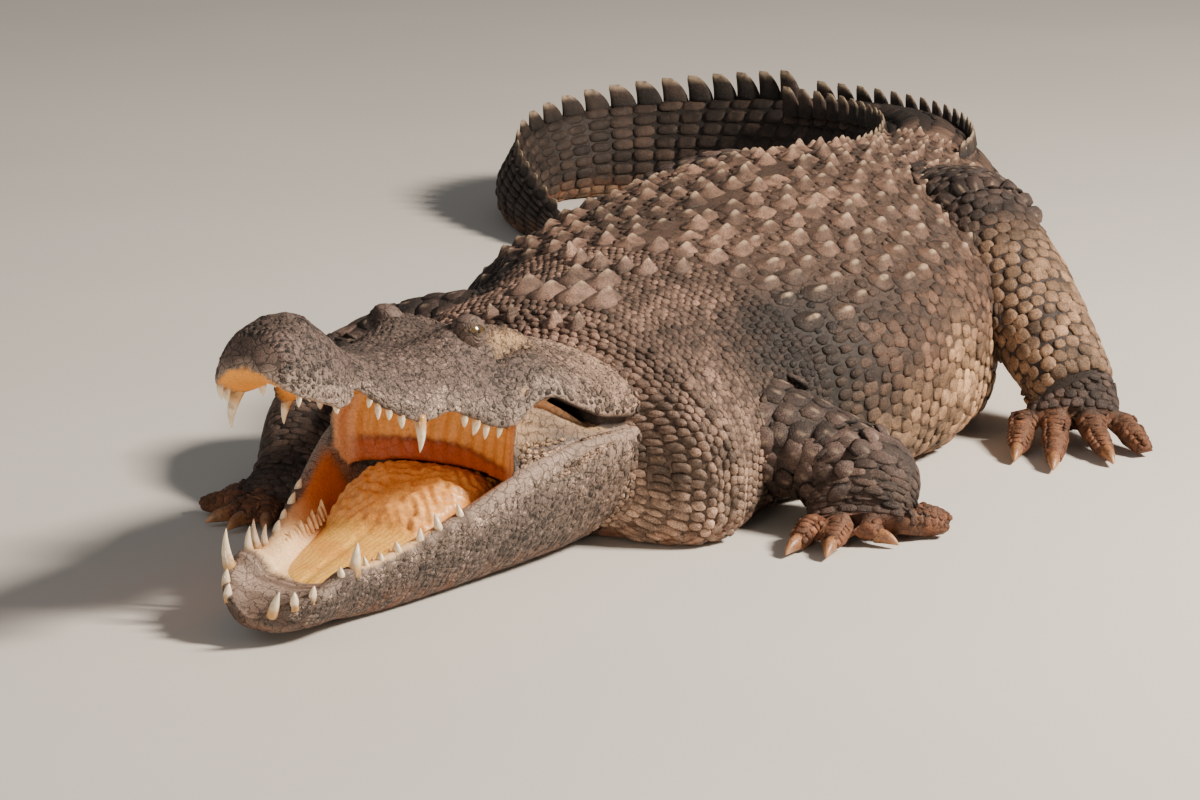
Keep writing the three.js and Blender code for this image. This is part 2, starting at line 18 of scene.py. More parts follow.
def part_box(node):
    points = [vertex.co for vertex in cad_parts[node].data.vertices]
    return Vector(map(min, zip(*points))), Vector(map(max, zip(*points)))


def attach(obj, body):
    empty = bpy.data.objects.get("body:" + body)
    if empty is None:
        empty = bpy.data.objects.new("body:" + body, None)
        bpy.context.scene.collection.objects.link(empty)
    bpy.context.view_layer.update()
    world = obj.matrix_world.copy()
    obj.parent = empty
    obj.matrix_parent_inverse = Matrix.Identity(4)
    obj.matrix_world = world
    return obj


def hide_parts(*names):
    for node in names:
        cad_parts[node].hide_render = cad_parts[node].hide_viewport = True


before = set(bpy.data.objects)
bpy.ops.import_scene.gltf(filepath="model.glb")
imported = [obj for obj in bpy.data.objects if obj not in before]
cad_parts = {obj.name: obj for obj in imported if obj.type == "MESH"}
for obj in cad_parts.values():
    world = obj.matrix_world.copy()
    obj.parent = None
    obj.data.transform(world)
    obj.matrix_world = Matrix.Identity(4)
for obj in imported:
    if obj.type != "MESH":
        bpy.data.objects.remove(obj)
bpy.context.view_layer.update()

MM = 0.001
LEAST_HEIGHT = 2 * MM  # the skin never lies nearer to the floor than this
print("solids loaded:", len(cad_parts), "nodes")

# %% [markdown]
# ## The driving measures
#
# A crocodile is measured from its jaw joint: the head runs forward of it and the body back along
# a curved spine. Each table below is a short list of stations, and a smooth curve runs through
# them, so that a whole animal comes from a few dozen honest sizes. The same tables shape the
# solids, which is why the skin fits them with nothing to adjust.

# %% Measures of the head
JAW_LENGTH = 565 * MM  # snout tip to jaw joint
JAW_JOINT_HEIGHT = 151 * MM
SNOUT_LIFT = math.radians(16.4)  # how far the upper jaw is raised
MANDIBLE_DROP = math.radians(10.7)  # how far the lower jaw points down
SKULL_POWER = 0.85  # how squarely the skull's sides stand
EYE = {"x": 58 * MM, "back": 380 * MM, "up": 92 * MM, "radius": 19.6 * MM}

# Behind the snout tip, half-width, height of the top, height of the lip, steepness of the side.
SKULL = np.array([
    [12, 24, 32, 6, 0.8], [26, 48, 58, -4, 0.8], [54, 63, 72, -10, 0.8], [88, 72, 76, -14, 0.8],
    [124, 72, 68, -12, 0.85], [157, 61, 57, 6, 0.9], [192, 77, 55, -8, 0.95], [245, 97, 59, -18, 1],
    [300, 106, 67, -2, 1.05], [365, 124, 85, -12, 1.1], [392, 135, 92, -6, 1.12],
    [420, 144, 98, 22, 1.15], [445, 152, 100, 31, 1.15], [480, 163, 102, 24, 1.15],
    [530, 174, 104, 16, 1.1], [580, 174, 104, 20, 1],
    [660, 168, 108, 30, 0.9],
]) * [MM, MM, MM, MM, 1]
# Behind the snout tip, half-width, height of the rim, underside and mouth floor.
MANDIBLE = MM * np.array([
    [30, 22, -10, -32, -14], [45, 48, -4, -44, -12], [80, 71, 0, -54, -10], [125, 80, 8, -65, -22],
    [165, 80, -6, -80, -30], [220, 95, -6, -96, -34], [300, 121, 2, -112, -38],
    [380, 145, 14, -128, -40], [450, 164, 20, -142, -38], [520, 178, 14, -154, -36],
    [580, 180, -2, -162, -36], [660, 168, -26, -160, -50],
])

# %% Measures of the body, tail and legs
# Behind the jaw joint, half-width, height of the widest level, of the back and of the
# underside, squareness above and below.
BODY = np.array([
    [46, 196, 84, 248, -4, 2.0, 3.0], [72, 256, 76, 262, -8, 2.0, 4.4],
    [104, 284, 76, 274, -10, 2.0, 5.0], [140, 284, 80, 286, -12, 2.0, 4.8],
    [240, 268, 92, 294, -12, 2.0, 4.2], [340, 284, 112, 308, -12, 2.1, 4.6],
    [460, 326, 130, 318, -14, 2.15, 5.0], [620, 344, 140, 332, -14, 2.15, 5.0],
    [760, 326, 142, 340, -14, 2.15, 5.0], [870, 282, 134, 340, -14, 2.15, 4.6],
    [970, 228, 128, 331, -14, 2.1, 4.0], [1090, 188, 118, 315, -12, 2.0, 3.4],
    [1220, 172, 112, 296, -10, 1.9, 3.0], [1350, 162, 108, 282, -8, 1.85, 2.8],
    [1500, 150, 98, 266, -8, 1.8, 2.6], [1750, 120, 88, 246, -7, 1.7, 2.5],
    [2050, 88, 76, 214, -6, 1.6, 2.4], [2350, 64, 64, 180, -5, 1.6, 2.4],
    [2650, 46, 50, 146, -4, 1.6, 2.3], [2900, 30, 38, 104, -4, 1.6, 2.3],
    [3100, 15, 24, 54, -3, 1.7, 2.3], [3220, 6, 12, 26, -2, 1.8, 2.2],
]) * [MM, MM, MM, MM, MM, 1, 1]
# Behind the jaw joint, heading in degrees from +Y towards the animal's right.
HEADING = np.array([
    [0, 0], [250, 0], [600, 3], [850, 7], [1100, 10], [1300, 12], [1500, 18], [1650, 28],
    [1800, 41], [1950, 53], [2100, 65], [2250, 82], [2400, 104], [2520, 130], [2640, 168],
    [2760, 202], [2900, 225], [3220, 240],
]) * [MM, 1]
# Each leg part: stations of x, y, z, half-width, half-height. Toes: x and y of the tip, whether
# clawed, and x and y of the root where that is not the middle of the palm's end.
LEGS = {
    "front_left": {
        "upper": [[215, 262, 104, 80, 74], [295, 274, 84, 72, 64], [352, 274, 66, 70, 58]],
        "lower": [[356, 280, 66, 74, 62], [370, 258, 58, 76, 58], [380, 232, 42, 70, 42]],
        "palm": [[378, 236, 38, 66, 36], [385, 222, 30, 68, 30], [392, 208, 22, 66, 22]],
        "toes": [[352, 92, 1, 350, 172], [400, 104, 1, 376, 186], [450, 198, 1, 406, 198],
                 [478, 276, 0, 432, 236], [462, 312, 0, 428, 264]],
    },
    "front_right": {
        "upper": [[-205, 290, 150, 84, 84], [-300, 262, 138, 72, 70], [-345, 190, 118, 60, 58]],
        "lower": [[-345, 185, 114, 60, 62], [-325, 80, 84, 56, 54], [-290, -8, 46, 50, 38]],
        "palm": [[-290, -4, 42, 46, 34], [-286, -42, 27, 56, 27], [-284, -70, 17, 56, 18]],
        "toes": [[-246, -136, 1], [-290, -152, 1], [-332, -138, 1], [-372, -88, 0],
                 [-374, -28, 0]],
    },
    "hind_left": {
        "upper": [[-10, 1190, 150, 60, 60], [70, 1095, 190, 96, 90], [140, 1010, 224, 92, 82],
                  [205, 925, 244, 78, 72]],
        "lower": [[212, 918, 240, 78, 72], [305, 858, 166, 78, 70], [405, 796, 74, 66, 56]],
        "palm": [[402, 812, 66, 60, 46], [412, 790, 50, 62, 38], [424, 768, 34, 64, 26]],
        "toes": [[404, 628, 1, 366, 738], [466, 612, 1, 406, 752], [520, 680, 1, 446, 768],
                 [538, 748, 0, 478, 792]],
    },
    "hind_right": {
        "upper": [[-130, 1120, 180, 95, 90], [-240, 1040, 210, 82, 76], [-335, 985, 192, 64, 60]],
        "lower": [[-340, 985, 187, 62, 60], [-400, 1010, 120, 60, 56], [-445, 1040, 62, 52, 46]],
        "palm": [[-445, 1036, 58, 50, 42], [-470, 985, 36, 58, 32], [-490, 940, 19, 60, 19]],
        "toes": [[-440, 860, 1], [-495, 838, 1], [-548, 862, 1], [-575, 925, 0]],
    },
}
CLAW_LENGTH = 40 * MM
WHORL = 44 * MM  # spacing of the rings of scales along the tail
CREST_START, CREST_MERGE, CREST_END, CREST_FADE = 1.40, 2.18, 3.19, 3.45
CREST_ROWS = 0.5  # how far the two rows stand out, as a share of the half-width


# %% [markdown]
# ## Curves through stations
#
# A Catmull-Rom curve passes through every station and leaves each with the slope of its two
# neighbours. Working it out for whole arrays at once keeps the script quick, and the same
# function then serves the head, the body and the legs.

# %% Smooth columns and a curved spine
def along(table, column, s):
    """A column of a station table at s: between two stations, the cubic that passes through
    both and leaves each with the slope between its neighbours."""
    stations, values = table[:, 0], table[:, column]
    ahead = np.append(np.arange(1, len(values)), len(values) - 1)
    behind = np.insert(np.arange(len(values) - 1), 0, 0)
    slopes = (values[ahead] - values[behind]) / (stations[ahead] - stations[behind])
    s = np.clip(s, stations[0], stations[-1])
    i = np.clip(np.searchsorted(stations, s, side="right") - 1, 0, len(values) - 2)
    span = stations[i + 1] - stations[i]
    t = (s - stations[i]) / span
    return (
        (2 * t**3 - 3 * t**2 + 1) * values[i]
        + (t**3 - 2 * t**2 + t) * span * slopes[i]
        + (3 * t**2 - 2 * t**3) * values[i + 1]
        + (t**3 - t**2) * span * slopes[i + 1]
    )


def signed_power(value, power):
    """|value| to a power, with the sign that value had."""
    return np.sign(value) * np.abs(value) ** power


def bell(distance, reach):
    """1 in the middle, and e to the minus (distance / reach) squared away from it."""
    return np.exp(-((distance / reach) ** 2))


def ramp(value, low, high):
    """0 below low, 1 above high, and a smooth S between."""
    f = np.clip((value - low) / (high - low), 0, 1)
    return f * f * (3 - 2 * f)


def unit(v):
    """Vectors of length one along the last axis."""
    return v / np.maximum(np.linalg.norm(v, axis=-1, keepdims=True), 1e-12)


SPINE_STEP = 5 * MM
spine_s = np.arange(0, BODY[-1, 0] + 2 * SPINE_STEP, SPINE_STEP)
turns = np.radians(along(HEADING, 1, spine_s + SPINE_STEP / 2))
spine_x = np.concatenate([[0], -np.cumsum(np.sin(turns)) * SPINE_STEP])[:-1]
spine_y = np.concatenate([[0], np.cumsum(np.cos(turns)) * SPINE_STEP])[:-1]


def raw_head_point(x, back, up, lift):
    """Head measures to space before centring: back from the snout tip and up from the jaw
    line, turned by the lift about the jaw joint."""
    forward = JAW_LENGTH - back
    return np.stack([
        x + 0 * back,
        up * np.sin(lift) - forward * np.cos(lift) + 0 * x,
        forward * np.sin(lift) + up * np.cos(lift) + JAW_JOINT_HEIGHT + 0 * x,
    ], axis=-1)


# The frame is centred on the whole animal, so the left eye's box says where the jaw joint is.
eye_low, eye_high = (np.array(corner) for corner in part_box("eye_left"))
ORIGIN = (eye_low + eye_high) / 2 - raw_head_point(EYE["x"], EYE["back"], EYE["up"], SNOUT_LIFT)
ORIGIN[2] = 0.0
print("jaw joint stands over", ORIGIN.round(4))


# %% Points beside the spine and on the body
def beside_spine(s, x, z):
    """s along the spine, x to the left of it and z above the floor, never below it."""
    turn = np.radians(along(HEADING, 1, s))
    at_x = np.interp(s, spine_s, spine_x) + np.cos(turn) * x
    at_y = np.interp(s, spine_s, spine_y) + np.sin(turn) * x
    return np.stack([at_x, at_y, np.maximum(0, z)], axis=-1) + ORIGIN


def body_point(s, t, inset):
    """The body's surface: half a superellipse above the widest level and half below it, t
    round from the left side over the back, drawn in by the inset."""
    w, middle, top, bottom, above, below = (along(BODY, c, s) for c in range(1, 7))
    up = np.sin(t) >= 0
    power = 2 / np.where(up, above, below)
    reach = np.where(up, top - middle, middle - bottom) - inset
    return beside_spine(
        s,
        (w - inset) * signed_power(np.cos(t), power),
        middle + reach * signed_power(np.sin(t), power),
    )


def head_point(x, back, up, lift):
    """The same as raw_head_point, in the frame."""
    return raw_head_point(np.asarray(x), np.asarray(back), np.asarray(up), lift) + ORIGIN


def skull_point(x, back, up):
    """Upper jaw measures to the frame."""
    return head_point(x, back, up, SNOUT_LIFT)


def mandible_point(x, back, up):
    """Lower jaw measures to the frame, never below the floor."""
    p = head_point(x, back, up, -MANDIBLE_DROP)
    p[..., 2] = np.maximum(0, p[..., 2])
    return p


# %% [markdown]
# ## Camera, floor and light
#
# A long lens from about five metres keeps the animal's proportions true, and the camera looks
# slightly down on its left front. The floor is plain and pale. A large soft lamp stands in for
# a low sun on the animal's left, so that every keel and crease throws a short shadow, a weak one
# opens the shadows from the other side, and a low one in front lights the inside of the mouth.

# %% Camera, floor and lamps
CAMERA_AZIMUTH = math.radians(30)
CAMERA_RISE = math.radians(14)
CAMERA_PLACE = Vector((2.752, -4.510, 1.489)) + Vector(ORIGIN)
to_camera = Vector((
    math.sin(CAMERA_AZIMUTH) * math.cos(CAMERA_RISE),
    -math.cos(CAMERA_AZIMUTH) * math.cos(CAMERA_RISE),
    math.sin(CAMERA_RISE),
))
camera_data = bpy.data.cameras.new("camera")
camera_data.lens = 135
camera_data.sensor_width = 36
camera_data.clip_end = 60
camera = bpy.data.objects.new("camera", camera_data)
camera.location = CAMERA_PLACE
camera.rotation_euler = to_camera.to_track_quat("Z", "Y").to_euler()
bpy.context.scene.collection.objects.link(camera)
bpy.context.scene.camera = camera


def soft_lamp(name, azimuth, rise, distance, size, power, colour):
    """A square area lamp looking at the belly from an azimuth (0 is in front of the snout,
    90 at the animal's left) and a rise above the floor."""
    data = bpy.data.lights.new(name, "AREA")
    data.size = size
    data.energy = power
    data.color = colour
    lamp = bpy.data.objects.new(name, data)
    a, e = math.radians(azimuth), math.radians(rise)
    out = Vector((math.sin(a) * math.cos(e), -math.cos(a) * math.cos(e), math.sin(e)))
    target = Vector(ORIGIN) + Vector((0.0, 0.25, 0.15))
    lamp.location = target + out * distance
    lamp.rotation_euler = out.to_track_quat("Z", "Y").to_euler()
    bpy.context.scene.collection.objects.link(lamp)


soft_lamp("key", 108, 38, 5.0, 0.9, 720, (1.0, 0.88, 0.74))
soft_lamp("mouth", 14, 8, 4.5, 0.7, 44, (1.0, 0.86, 0.68))
soft_lamp("fill", -40, 35, 6.0, 4.0, 30, (0.86, 0.92, 1.0))
world = bpy.data.worlds.new("studio")
world.use_nodes = True
world.node_tree.nodes["Background"].inputs["Color"].default_value = (1.0, 0.97, 0.94, 1)
world.node_tree.nodes["Background"].inputs["Strength"].default_value = 0.16
bpy.context.scene.world = world

floor_data = bpy.data.meshes.new("floor")
FLOOR_HALF = 14.0
floor_data.from_pydata(
    [(x, y, -0.0005) for x, y in
     [(-FLOOR_HALF, -FLOOR_HALF), (FLOOR_HALF, -FLOOR_HALF),
      (FLOOR_HALF, FLOOR_HALF), (-FLOOR_HALF, FLOOR_HALF)]],
    [], [(0, 1, 2, 3)],
)
floor = bpy.data.objects.new("floor", floor_data)
bpy.context.scene.collection.objects.link(floor)


# %% [markdown]
# ## From arrays to meshes
#
# A surface of two parameters is a grid of points. Its quads join each row to the next, and a
# tube closes by joining the last column to the first, with a fan over each end. Marks that the
# finish needs later, such as how pale or how deep in a crease a point is, go along as named
# attributes, so that one material can finish every piece of hide.

# %% Grids, tubes and joined meshes
def grid_faces(rows, columns):
    """Quads between neighbouring rows, wrapping round to the first column."""
    i, j = np.meshgrid(np.arange(rows - 1), np.arange(columns), indexing="ij")
    a, b = i * columns + j, i * columns + (j + 1) % columns
    return np.stack([a, b, b + columns, a + columns], axis=-1).reshape(-1, 4)


def end_fan(start, columns, centre, flip):
    """Triangles from a ring of vertices to one vertex in its middle."""
    j = np.arange(columns)
    a, b = start + j, start + (j + 1) % columns
    tri = np.stack([b, a, np.full(columns, centre)], axis=-1)
    return tri[:, ::-1] if flip else tri


def tube(rings):
    """Points and faces of a closed tube through rings of points, with a fan over each end."""
    rows, columns = rings.shape[:2]
    points = np.concatenate([rings.reshape(-1, 3), [rings[0].mean(0)], [rings[-1].mean(0)]])
    count = rows * columns
    quads = grid_faces(rows, columns)
    fans = np.concatenate([
        end_fan(0, columns, count, False), end_fan(count - columns, columns, count + 1, True)])
    return points, quads, fans


def volume_of(points, quads, fans):
    """Signed volume inside the faces: the sum of the tetrahedra from the origin."""
    tris = np.concatenate([quads[:, [0, 1, 2]], quads[:, [0, 2, 3]], fans])
    a, b, c = (points[tris[:, k]] for k in range(3))
    return float(np.einsum("ij,ij->", a, np.cross(b, c)) / 6)


def outward(points, quads, fans):
    """The same surface with its faces turned out, whichever way its rings ran."""
    if volume_of(points, quads, fans) < 0:
        return points, quads[:, ::-1], fans[:, ::-1]
    return points, quads, fans


def make_mesh(name, points, polygons, marks):
    """A mesh from points and a list of (n, k) arrays of polygons, filled by whole arrays."""
    mesh = bpy.data.meshes.new(name)
    sizes = np.concatenate([np.full(len(p), p.shape[1]) for p in polygons])
    corners = np.concatenate([p.ravel() for p in polygons]).astype(np.int32)
    mesh.vertices.add(len(points))
    mesh.vertices.foreach_set("co", np.ascontiguousarray(points, dtype=np.float32).ravel())
    mesh.loops.add(len(corners))
    mesh.loops.foreach_set("vertex_index", corners)
    mesh.polygons.add(len(sizes))
    starts = np.concatenate([[0], np.cumsum(sizes)[:-1]]).astype(np.int32)
    mesh.polygons.foreach_set("loop_start", starts)
    mesh.update(calc_edges=True)
    mesh.shade_smooth()
    for mark, values in marks.items():
        colour = mesh.color_attributes.new(mark, "FLOAT_COLOR", "POINT")
        rgba = np.ones((len(points), 4), dtype=np.float32)
        rgba[:, :3] = values
        colour.data.foreach_set("color", rgba.ravel())
    return mesh


def set_bake_map(mesh, places):
    """The map on which the looks are baked, from one place for each vertex."""
    corners = np.empty(len(mesh.loops), dtype=np.int32)
    mesh.loops.foreach_get("vertex_index", corners)
    layer = mesh.uv_layers.new(name="OFBake")
    layer.uv.foreach_set("vector", places[corners].astype(np.float32).ravel())


def make_piece(name, mesh, material):
    """An object at the origin for a mesh, riding on the one body."""
    piece = bpy.data.objects.new(name, mesh)
    bpy.context.scene.collection.objects.link(piece)
    mesh.materials.append(material)
    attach(piece, "root")
    return piece


def positions(mesh):
    """A mesh's points as an (n, 3) array."""
    co = np.empty(len(mesh.vertices) * 3, dtype=np.float32)
    mesh.vertices.foreach_get("co", co)
    return co.reshape(-1, 3).astype(float)


class Shells:
    """Closed surfaces gathered into one mesh, each point with its colour and its marks."""

    def __init__(self):
        self.points, self.quads, self.fans, self.tints, self.facts = [], [], [], [], []
        self.count = 0

    def add(self, rings, tint, facts):
        """Adds a tube. tint and facts are one value or one per ring point."""
        points, quads, fans = outward(*tube(rings))
        self.points.append(points)
        self.quads.append(quads + self.count)
        self.fans.append(fans + self.count)
        for store, values in ((self.tints, tint), (self.facts, facts)):
            full = np.broadcast_to(values, rings.shape).reshape(-1, 3)
            ends = [full[0], full[-1]]
            store.append(np.concatenate([full, ends]))
        self.count += len(points)

    def mesh(self, name):
        """One mesh of all that was added."""
        marks = {"tint": np.concatenate(self.tints), "facts": np.concatenate(self.facts)}
        return make_mesh(
            name, np.concatenate(self.points),
            [np.concatenate(self.quads), np.concatenate(self.fans)], marks)


# %% [markdown]
# ## The colours of the hide
#
# A basking crocodile is not green. Its back is a dry grey-brown with paler horn on the keels,
# the flanks turn to cream between dark blotches, the head is taupe with a pale lip, the legs are
# nearly black-brown, and red soil dusts whatever meets the ground. The same function colours
# the skin and the scales over it, so that the markings run on from one to the other.

# %% Named colours and the body's markings
def srgb(*channels):
    """A colour as screens give it, 0 to 255, in the renderer's linear light."""
    c = np.array(channels) / 255
    return np.where(c <= 0.04045, c / 12.92, ((c + 0.055) / 1.055) ** 2.4)


BACK_BROWN = srgb(116, 89, 74)
NECK_BROWN = srgb(126, 99, 85)
FLANK_BROWN = srgb(100, 73, 57)
FLANK_CREAM = srgb(158, 124, 93)
BELLY_CREAM = srgb(182, 150, 112)
JOWL_TAN = srgb(166, 136, 116)
LEG_DARK = srgb(74, 58, 52)
FOOT_DARK = srgb(84, 58, 44)
TOE_TAN = srgb(106, 69, 47)
# The tail's brown is darker than its own colour: a painted shade, as if it lay out of the light.
TAIL_BROWN_AND_SHADE = srgb(56, 43, 36)
SKULL_TAUPE = srgb(94, 77, 70)
LIP_PALE = srgb(146, 127, 115)
JAW_GREY = srgb(86, 74, 68)
EAR_TAN = srgb(158, 126, 90)
# This dark brown is partly real stain round the roots of the teeth and partly painted shade: in the
# slit under the bar behind the mouth, in the notch of the snout, at the back of the palate and on
# the hinge between the jaws.
STAIN_AND_SHADE = srgb(52, 36, 28)
SOIL = srgb(150, 90, 58)
PALATE_YELLOW = srgb(246, 164, 58)
THROAT_RED = srgb(170, 84, 30)
GUM_CREAM = srgb(246, 214, 164)
TONGUE_YELLOW = srgb(244, 196, 96)
MOUND_YELLOW = srgb(236, 172, 92)
CHEEK_CREAM = srgb(170, 138, 106)
GUM_ORANGE_AND_SHADE = srgb(206, 122, 52)
FOLD_RED = srgb(188, 84, 18)
FOLD_SHADE = srgb(96, 36, 12)
WALL_YELLOW = srgb(250, 176, 84)
WALL_CREAM = srgb(236, 172, 118)
MOUTH_FLUSH = srgb(206, 112, 36)
TONGUE_STREAK = srgb(196, 128, 44)
TONGUE_EDGE = srgb(178, 104, 52)
TONGUE_FLUSH = srgb(214, 140, 56)
WORN_KEEL = srgb(214, 188, 158)
TOOTH_STAIN = srgb(150, 104, 60)
CLAW_DARK = srgb(104, 72, 50)
CLAW_STREAK = srgb(160, 116, 80)
CLAW_TIP = srgb(196, 152, 112)


def mix(a, b, f):
    """Colours a turned towards b by the share f, one share per point."""
    f = np.asarray(f)[..., None]
    return a * (1 - f) + b * f


def body_tint(s, round_share):
    """Colour of the body at s, round_share 0 on the midline of the back and 1 under the belly:
    brown above, darker down the flank, nearly black behind the arm by dark pigment and painted
    shade of the hollow, cream below a wavering line, and a tail darkened by painted shade."""
    waver = 0.03 * np.sin(s * 23) + 0.02 * np.sin(s * 51 + 2)
    colour = mix(BACK_BROWN, FLANK_BROWN, ramp(round_share + waver, 0.26, 0.38))
    colour = mix(colour, FLANK_CREAM, ramp(round_share + waver, 0.42, 0.56))
    colour = mix(colour, BELLY_CREAM, ramp(round_share, 0.68, 0.85))
    neck = mix(NECK_BROWN, JOWL_TAN, ramp(round_share, 0.25, 0.6))
    colour = mix(neck, colour, ramp(s, 0.20, 0.48))
    # Behind the arm: partly dark pigment, partly painted shade of the hollow between neck and leg.
    armpit_pigment_and_shade = bell(s - 0.33, 0.16) * ramp(round_share, 0.17, 0.29)
    colour = mix(colour, LEG_DARK * 0.2, 0.95 * armpit_pigment_and_shade)
    # Painted shade: the tail takes a brown darker than its own colour.
    tail = mix(TAIL_BROWN_AND_SHADE, FLANK_CREAM * 0.7, ramp(round_share, 0.62, 0.9))
    return mix(colour, tail, ramp(s, 1.3, 1.7))


def skull_tint(back, side, rise):
    """taupe with a pale lip, darkened round the teeth by stain and painted shade, painted shade in
    the slit under the bar behind the mouth and in the notch of the snout, and tan along the ridge
    behind the eye."""
    colour = mix(LIP_PALE, SKULL_TAUPE, ramp(rise, 0.05, 0.5))
    colour = mix(colour, SKULL_TAUPE * 0.6, 0.8 * ramp(rise, 0.80, 0.97))
    colour = mix(colour, JOWL_TAN, 0.7 * ramp(back, 0.42, 0.58))
    ridge = bell(side - 80 * MM, 11 * MM) * ramp(back, 0.388, 0.41) * (1 - ramp(back, 0.46, 0.50))
    colour = mix(colour, EAR_TAN, 0.9 * ridge)
    brow = bell(np.hypot(side - 52 * MM, back - 372 * MM), 24 * MM)
    colour = mix(colour, SKULL_TAUPE * 0.6, 0.6 * brow)
    # Painted shade: the lip goes dark brown in the slit under the bar that ends the upper jaw.
    colour = mix(colour, STAIN_AND_SHADE, ramp(back, 0.41, 0.43) * (1 - ramp(rise, 0.03, 0.14)))
    # Partly real stain and partly painted shade: the lip darkens round the roots of the teeth.
    stain = (1 - ramp(rise, 0.03, 0.22)) * ramp(gum_bulge(back, UPPER_TEETH["left"]), 0.15, 0.5)
    colour = mix(colour, STAIN_AND_SHADE, 0.8 * stain * ramp(back, 0.15, 0.18))
    # Painted shade: a dark line down the notch behind the nose.
    return mix(colour, STAIN_AND_SHADE, 0.7 * bell(back - 153 * MM, 4 * MM) * (1 - ramp(rise, 0.7, 0.95)))


def jaw_tint(back, share):
    """Colour of the lower jaw, share 0 at the rim of the teeth to 1 under the chin."""
    colour = mix(LIP_PALE, JAW_GREY, ramp(share, 0.0, 0.22))
    colour = mix(colour, JOWL_TAN, 0.05 + 0.4 * ramp(share, 0.45, 0.8) + 0 * back)
    colour = mix(colour, JOWL_TAN * 0.9, 0.35 * ramp(back, 0.40, 0.58))
    # Partly real stain and partly painted shade: the rim darkens round the roots of the teeth.
    stain = (1 - ramp(share, 0.03, 0.20)) * ramp(gum_bulge(back, LOWER_TEETH["left"]), 0.2, 0.6)
    return mix(colour, STAIN_AND_SHADE, 0.6 * stain + 0 * share)


# %% [markdown]
# ## Unrolling the body
#
# Scales are laid on the animal in rows, so the tube of the body is first unrolled: for every
# ring, the distance round it is measured from the midline of the back to the midline of the
# belly, and shares of that distance, not angles, say where a scale sits. Scales then keep an
# even width where the body is flat below and round above.

# %% The body's unrolled surface
COAT_TOP = 15 * MM  # how far the skin lies inside the tips on the back
COAT_FLANK = 6 * MM
COAT_BELLY = 2 * MM


def coat_depth(s, t):
    """Depth of the skin below the solids: the coat, deepest over the back, and where the neck
    slides into the head or lies in upright folds, the depth of those."""
    height = np.sin(t)
    coat = (
        COAT_FLANK
        + (COAT_TOP - COAT_FLANK) * ramp(height, 0.25, 0.8)
        + (COAT_BELLY - COAT_FLANK) * ramp(-height, 0.3, 0.8)
    )
    collar = 52 * MM * np.clip((0.080 - s) / 0.062, 0, 1.2) ** 2
    wave = 0.5 - 0.5 * np.cos((s - 0.075) * 150 + 0.8 * np.sin(3 * t))
    folds = 5 * MM * wave * ramp(s, 0.07, 0.10) * (1 - ramp(s, 0.20, 0.40))
    side = 1 - ramp(np.abs(height), 0.65, 0.95)
    slack = 3.5 * MM * (0.5 + 0.5 * np.sin(s * 36 + 2.5 * t)) * ramp(s, 0.4, 0.6)
    return coat + collar + folds * side + slack * side * (1 - ramp(s, 1.1, 1.3))


class Unrolled:
    """A surface of rings sampled evenly along and round: half of it from the midline above to
    the midline below, with the other half as its mirror across the frame of each ring."""

    def __init__(self, stations, rings):
        """rings: (stations, samples, 3), from above to below down one side."""
        steps_round = np.linalg.norm(np.diff(rings, axis=1), axis=-1)
        reach = np.concatenate([np.zeros((len(rings), 1)), np.cumsum(steps_round, axis=1)], axis=1)
        self.girth = reach[:, -1]
        share = reach / self.girth[:, None]
        even = np.linspace(0, 1, rings.shape[1])
        self.stations = stations
        self.points = np.stack([
            np.stack([np.interp(even, share[i], rings[i, :, k]) for k in range(3)], axis=-1)
            for i in range(len(rings))])
        ahead = np.gradient(self.points, axis=0)
        round_it = np.gradient(self.points, axis=1)
        self.normals = unit(np.cross(ahead, round_it))
        out = self.points - self.points.mean(axis=1, keepdims=True)
        self.normals *= np.sign(np.einsum("ijk,ijk->", self.normals, out))

    def at(self, s, share):
        """Point and normal at a station and a share round, by the four nearest samples."""
        f = np.interp(s, self.stations, np.arange(len(self.stations)))
        g = np.clip(share, 0, 1) * (self.points.shape[1] - 1)
        i = np.clip(f.astype(int), 0, len(self.stations) - 2)
        j = np.clip(g.astype(int), 0, self.points.shape[1] - 2)
        u, v = (f - i)[..., None], (g - j)[..., None]

        def blend(grid):
            return (
                grid[i, j] * (1 - u) * (1 - v) + grid[i + 1, j] * u * (1 - v)
                + grid[i, j + 1] * (1 - u) * v + grid[i + 1, j + 1] * u * v)

        return blend(self.points), unit(blend(self.normals))


BODY_STATIONS = np.concatenate([
    np.arange(0.016, 0.40, 5 * MM), np.arange(0.40, BODY[-1, 0], 8 * MM)])
HALF_ROUND = np.linspace(0, np.pi, 241)
sides = {}
for side, hand in (("left", -1), ("right", 1)):
    t = np.pi / 2 + hand * HALF_ROUND[None, :]
    sides[side] = Unrolled(
        BODY_STATIONS, body_point(BODY_STATIONS[:, None], t, coat_depth(BODY_STATIONS[:, None], t)))
print("half girth at the belly:", round(float(sides["left"].girth[90]), 3), "m")


# %% [markdown]
# ## The surfaces of the head
#
# A crocodile's skull is a long low box of bone with almost no muscle over it, so its bosses show
# through: the bulb of the nose, the brows, and the square table behind the eyes. Under it the
# lower jaw is a deep trough that widens back to the muscles of the jowl. Each is a ring of
# points carried backwards, with the bosses and hollows added as soft bells where they belong.

